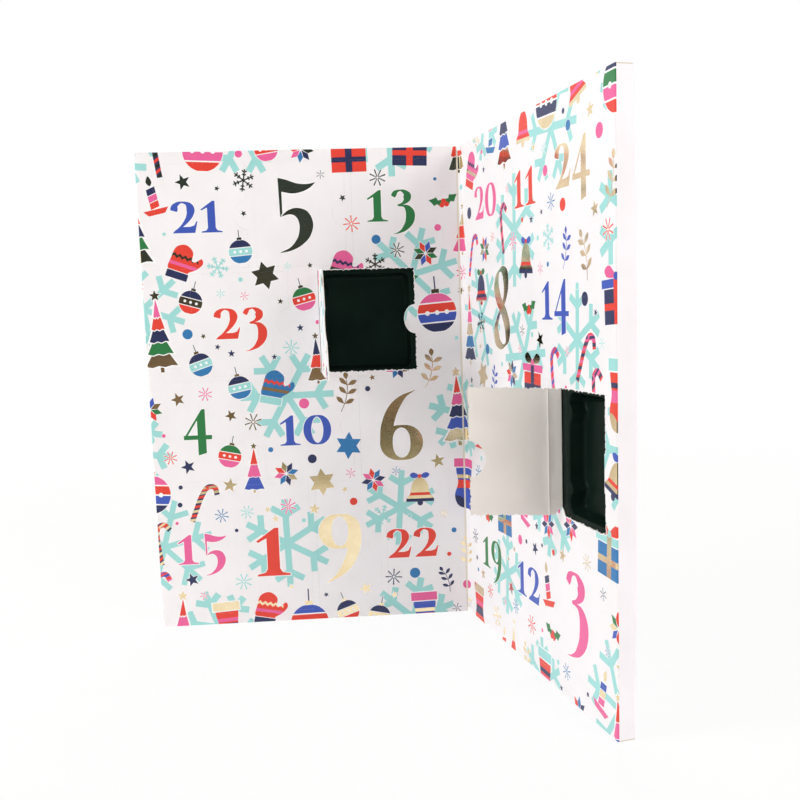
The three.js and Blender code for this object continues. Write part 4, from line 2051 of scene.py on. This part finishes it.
@dataclass
class SpineStrip:
    """The creased strip of the print between the two fronts, a little shorter than they are.

    Attributes:
        width: From one fold line to the other.
        height: The height of the fronts.
        end_cut: How much shorter it is at each end.
        corner: How far its corners are cut.
        gap: How far its sides stay from the fold lines, below 0 where they reach past.
        fold_gap: How far a fold line lies from its front.
        bead: How far the first bead stands out.
        bead_place: How far a bead's crest lies from its fold line.
        bead_width: How wide a bead is.
        bead_steps: The lines over a bead, in its widths.
    """

    width: float = 3.2
    height: float = 350.0
    end_cut: float = 3.0
    corner: float = 0.8
    gap: float = -0.01
    fold_gap: float = 0.15
    bead: float = 0.2
    bead_place: float = 0.42
    bead_width: float = 0.22
    bead_steps: tuple[float, ...] = (-1.2, -0.6, 0, 0.6, 1.2)

    def build(self, art: Artwork, wardrobe: Wardrobe) -> bpy.types.Object:
        """Builds the strip.

        Args:
            art: The print.
            wardrobe: The materials.

        Returns:
            The strip.
        """
        first, second = (Vector(fold_place(half.value)) for half in Half)
        ahead = second - first
        place = Matrix.Translation((first.x, first.y, 0)) @ Matrix.Rotation(
            math.atan2(ahead.y, ahead.x), 4, "Z"
        )
        low, high = self.end_cut, self.height - self.end_cut
        outline = ring([
            (self.gap + self.corner, low), (self.width - self.gap - self.corner, low),
            (self.width - self.gap, low + self.corner), (self.width - self.gap, high - self.corner),
            (self.width - self.gap - self.corner, high), (self.gap + self.corner, high),
            (self.gap, high - self.corner), (self.gap, low + self.corner),
        ])
        shift = art.width + self.fold_gap
        crests = (self.bead_place, self.width - self.bead_place)
        lines = [crest + step * self.bead_width for crest in crests for step in self.bead_steps]
        creases = [ring([(line, low), (line, high)]) for line in lines]
        bend = BeadedStrip(self.width, self.bead, self.bead_place, self.bead_width)
        piece = Sheet("spine_print", outline, bend, shift, [], creases).build(art, wardrobe.inks, place)
        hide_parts("spine_strip")
        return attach(piece, "spine")


@dataclass(frozen=True)
class Lamp:
    """A soft round lamp.

    Attributes:
        name: Its name.
        place: Where it hangs.
        size: Its diameter.
        power: Its power, in watts.
        tint: The colour of its light.
        mirrored: Whether glossy surfaces show it.
    """

    name: str
    place: tuple[float, float, float]
    size: float
    power: float
    tint: Colour = (255, 251, 245)
    mirrored: bool = False


@dataclass
class Studio:
    """The white floor, the soft light, the dark room that the foil mirrors, and the camera.

    Attributes:
        floor_size: The floor's width.
        floor_shades: The two shades of its clouds.
        floor_clouds: How many clouds lie in a metre, and their finer layers.
        floor_roughness: Its roughness.
        floor_glow: How white the camera sees it near the calendar, from 0 to 1.
        floor_clear: How far away that starts to rise to 1, and where it reaches it.
        world_light: How strong the even light is.
        world_tint: Its colour.
        aim: What the lamps look at.
        lamps: The lamps.
        lens: The camera's focal length, in millimetres.
        sensor: The width of its sensor, in millimetres.
        nearest: How near it sees.
        camera_place: Where it stands.
        yaw: How far it is turned to the right, in degrees.
        pitch: How far it looks down.
        roll: How far it leans.
        shift: How far its picture is shifted, as shares of its width.
        face_place: How far behind the middle the room's floor starts.
        floor_reach: How long the room's floor is.
        floor_lift: How far it lies over the white floor.
        wall_height: The height of the room's wall.
        card_stretch: How many times wider than long the room's cards are.
        floor_stops: The colours of the room's floor, each with its distance.
        wall_stops: The colours of its wall, each with its height.
    """

    floor_size: float = 12.0
    floor_shades: tuple[Colour, Colour] = ((250, 250, 251), (254, 254, 254))
    floor_clouds: tuple[int, int] = (30, 2)
    floor_roughness: float = 0.9
    floor_glow: float = 0.88
    floor_clear: tuple[float, float] = (0.45, 1.3)
    world_light: float = 0.42
    world_tint: Colour = (255, 251, 244)
    aim: tuple[float, float, float] = (0.0, 0.0, 0.17)
    lamps: tuple[Lamp, ...] = (
        Lamp("left_lamp", (-1.633, -0.207, 1.23), 0.9, 21.5, (254, 255, 255), mirrored=True),
        Lamp("front_lamp", (1.3, -1.6, 0.9), 1.2, 17.6, mirrored=True),
        Lamp("right_lamp", (1.663, -0.524, 1.23), 0.8, 3.3, (255, 251, 255)),
        Lamp("back_lamp", (0.2, 2.0, 1.2), 1.4, 15.0),
    )
    lens: float = 42.0
    sensor: float = 36.0
    nearest: float = 0.01
    camera_place: tuple[float, float, float] = (-0.00595, -0.58799, 0.2326)
    yaw: float = 3.84
    pitch: float = 6.71
    roll: float = -1.81
    shift: tuple[float, float] = (-0.00498, 0.02485)
    face_place: float = 0.1075
    floor_reach: float = 1.7
    floor_lift: float = 0.0004
    wall_height: float = 3.0
    card_stretch: float = 3.0
    floor_stops: tuple[tuple[float, Colour], ...] = (
        (0.0, (255, 255, 255)), (0.36, (255, 255, 254)), (0.5, (228, 225, 216)), (0.65, (178, 175, 162)),
        (0.81, (129, 130, 112)), (1.05, (90, 90, 76)), (1.39, (84, 74, 60)), (1.7, (150, 132, 120)),
    )
    wall_stops: tuple[tuple[float, Colour], ...] = (
        (0.0, (150, 132, 120)), (0.05, (150, 132, 120)), (0.1, (124, 110, 98)), (0.19, (90, 84, 78)),
        (0.29, (62, 66, 68)), (0.43, (54, 69, 76)), (3.0, (34, 44, 48)),
    )

    def world(self) -> None:
        """Lights the scene evenly, before a white background."""
        world = bpy.data.worlds.new("studio")
        bpy.context.scene.world = world
        tree = Tree(world)
        light, white = (
            tree.add("ShaderNodeBackground", {"Color": colour, "Strength": strength})[0]
            for colour, strength in ((linear(self.world_tint), self.world_light), ((1, 1, 1, 1), 1))
        )
        tree.add("ShaderNodeOutputWorld", {"Surface": tree.mixed(tree.seen(), light, white)})

    def plane(self, name: str, size: float, material: bpy.types.Material) -> bpy.types.Object:
        """Makes a square sheet of the stage."""
        mesh = bpy.data.meshes.new(name)
        half = size / 2
        corners = [(-half, -half, 0), (half, -half, 0), (half, half, 0), (-half, half, 0)]
        mesh.from_pydata(corners, [], [(0, 1, 2, 3)])
        mesh.materials.append(material)
        plane = add_object(name, mesh)
        return plane

    def floor(self) -> None:
        """Lays the white floor, which keeps the calendar's shadow."""
        recipe = Recipe("floor_white")
        recipe.cloud(*self.floor_clouds, *self.floor_shades)
        recipe.put(self.floor_roughness, recipe.looks["Roughness"])
        recipe.put(0.0, recipe.looks["Specular IOR Level"])
        away = recipe.add("ShaderNodeVectorMath", {0: recipe.place}, operation="LENGTH")["Value"]
        clear = recipe.ranged(
            away, *self.floor_clear, self.floor_glow, interpolation_type="SMOOTHSTEP"
        )
        share = recipe.reckon("MULTIPLY", recipe.seen(), clear)
        glow = recipe.add("ShaderNodeEmission")[0]
        recipe.put(recipe.mixed(share, recipe.shader, glow), recipe.surface)
        self.plane("floor", self.floor_size, recipe.material)

    def card(self, name: str, stops: Sequence[tuple[float, Colour]], length: float) -> bpy.types.Object:
        """Makes a glowing card of graded colour that only mirroring surfaces see.

        Args:
            name: Its name.
            stops: Its colours from the near end to the far one, each with its place.
            length: How long it is.

        Returns:
            The card, lying flat, graded along its second axis.
        """
        recipe = Recipe(name)
        share = recipe.ranged(recipe.part(recipe.place, "Y"), -length / 2, length / 2)
        ramp = recipe.tree.nodes.new("ShaderNodeValToRGB")
        recipe.put(share, ramp.inputs["Fac"])
        marks = ramp.color_ramp.elements
        while len(marks) < len(stops):
            marks.new(0.5)
        for mark, (at, colour) in zip(marks, stops, strict=True):
            mark.position = at / length
            mark.color = linear(colour)
        glow = recipe.add("ShaderNodeEmission", {"Color": ramp.outputs["Color"]})
        recipe.put(glow[0], recipe.surface)
        card = self.plane(name, length, recipe.material)
        card.scale.x = self.card_stretch
        for kind in ("camera", "diffuse", "shadow", "transmission"):
            setattr(card, f"visible_{kind}", False)
        return card

    def dark_room(self) -> None:
        """Sets the room that the foil mirrors: a floor that darkens forwards, and a dark wall."""
        near = self.card("room_floor", self.floor_stops, self.floor_reach)
        near.rotation_euler = (0, 0, math.pi)
        near.location = (0, self.face_place - self.floor_reach / 2, self.floor_lift)
        wall = self.card("room_wall", self.wall_stops, self.wall_height)
        wall.rotation_euler = (math.radians(90), 0, 0)
        wall.location = (0, self.face_place - self.floor_reach, self.wall_height / 2)

    def lamp(self, lamp: Lamp) -> None:
        """Hangs a soft lamp that looks at the calendar."""
        light = bpy.data.lights.new(lamp.name, "AREA")
        light.shape = "DISK"
        light.size = lamp.size
        light.energy = lamp.power
        light.color = linear(lamp.tint)[:3]
        holder = add_object(lamp.name, light)
        holder.location = lamp.place
        aim = Vector(self.aim) - Vector(lamp.place)
        holder.rotation_euler = aim.to_track_quat("-Z", "Y").to_euler()
        holder.visible_glossy = lamp.mirrored

    def camera(self) -> None:
        """Sets the camera where the photograph was taken."""
        data = bpy.data.cameras.new("camera")
        data.lens = self.lens
        data.sensor_width = self.sensor
        data.sensor_fit = "HORIZONTAL"
        data.shift_x, data.shift_y = self.shift
        data.clip_start = self.nearest
        holder = add_object("camera", data)
        yaw, pitch, roll = (math.radians(a) for a in (self.yaw, self.pitch, self.roll))
        ahead = Vector((math.sin(yaw) * math.cos(pitch), math.cos(yaw) * math.cos(pitch), -math.sin(pitch)))
        level = Vector((math.cos(yaw), -math.sin(yaw), 0))
        up = level.cross(ahead)
        right = level * math.cos(roll) + up * math.sin(roll)
        top = up * math.cos(roll) - level * math.sin(roll)
        turn = Matrix((right, top, -ahead)).transposed().to_4x4()
        holder.matrix_world = Matrix.Translation(self.camera_place) @ turn
        bpy.context.scene.camera = holder

    def build(self) -> None:
        """Sets the whole stage."""
        self.camera()
        self.world()
        self.floor()
        self.dark_room()
        for lamp in self.lamps:
            self.lamp(lamp)
        bpy.context.scene.view_settings.view_transform = "Standard"
        log.info("studio: ready")


def main() -> None:
    """Builds every piece of the calendar and its studio, in order."""
    logging.basicConfig(level=logging.INFO, format="%(name)s: %(message)s")
    Studio().build()
    wardrobe = Wardrobe()
    art = Artwork()
    art.lay_out()
    for half in Half:
        carton = Carton(half)
        carton.front(art, wardrobe)
        for cut in carton.doors():
            carton.leaf(cut, art, wardrobe)
        Tray(carton).build(wardrobe)
        carton.board(wardrobe)
    SpineStrip().build(art, wardrobe)


if __name__ == "__main__":
    main()
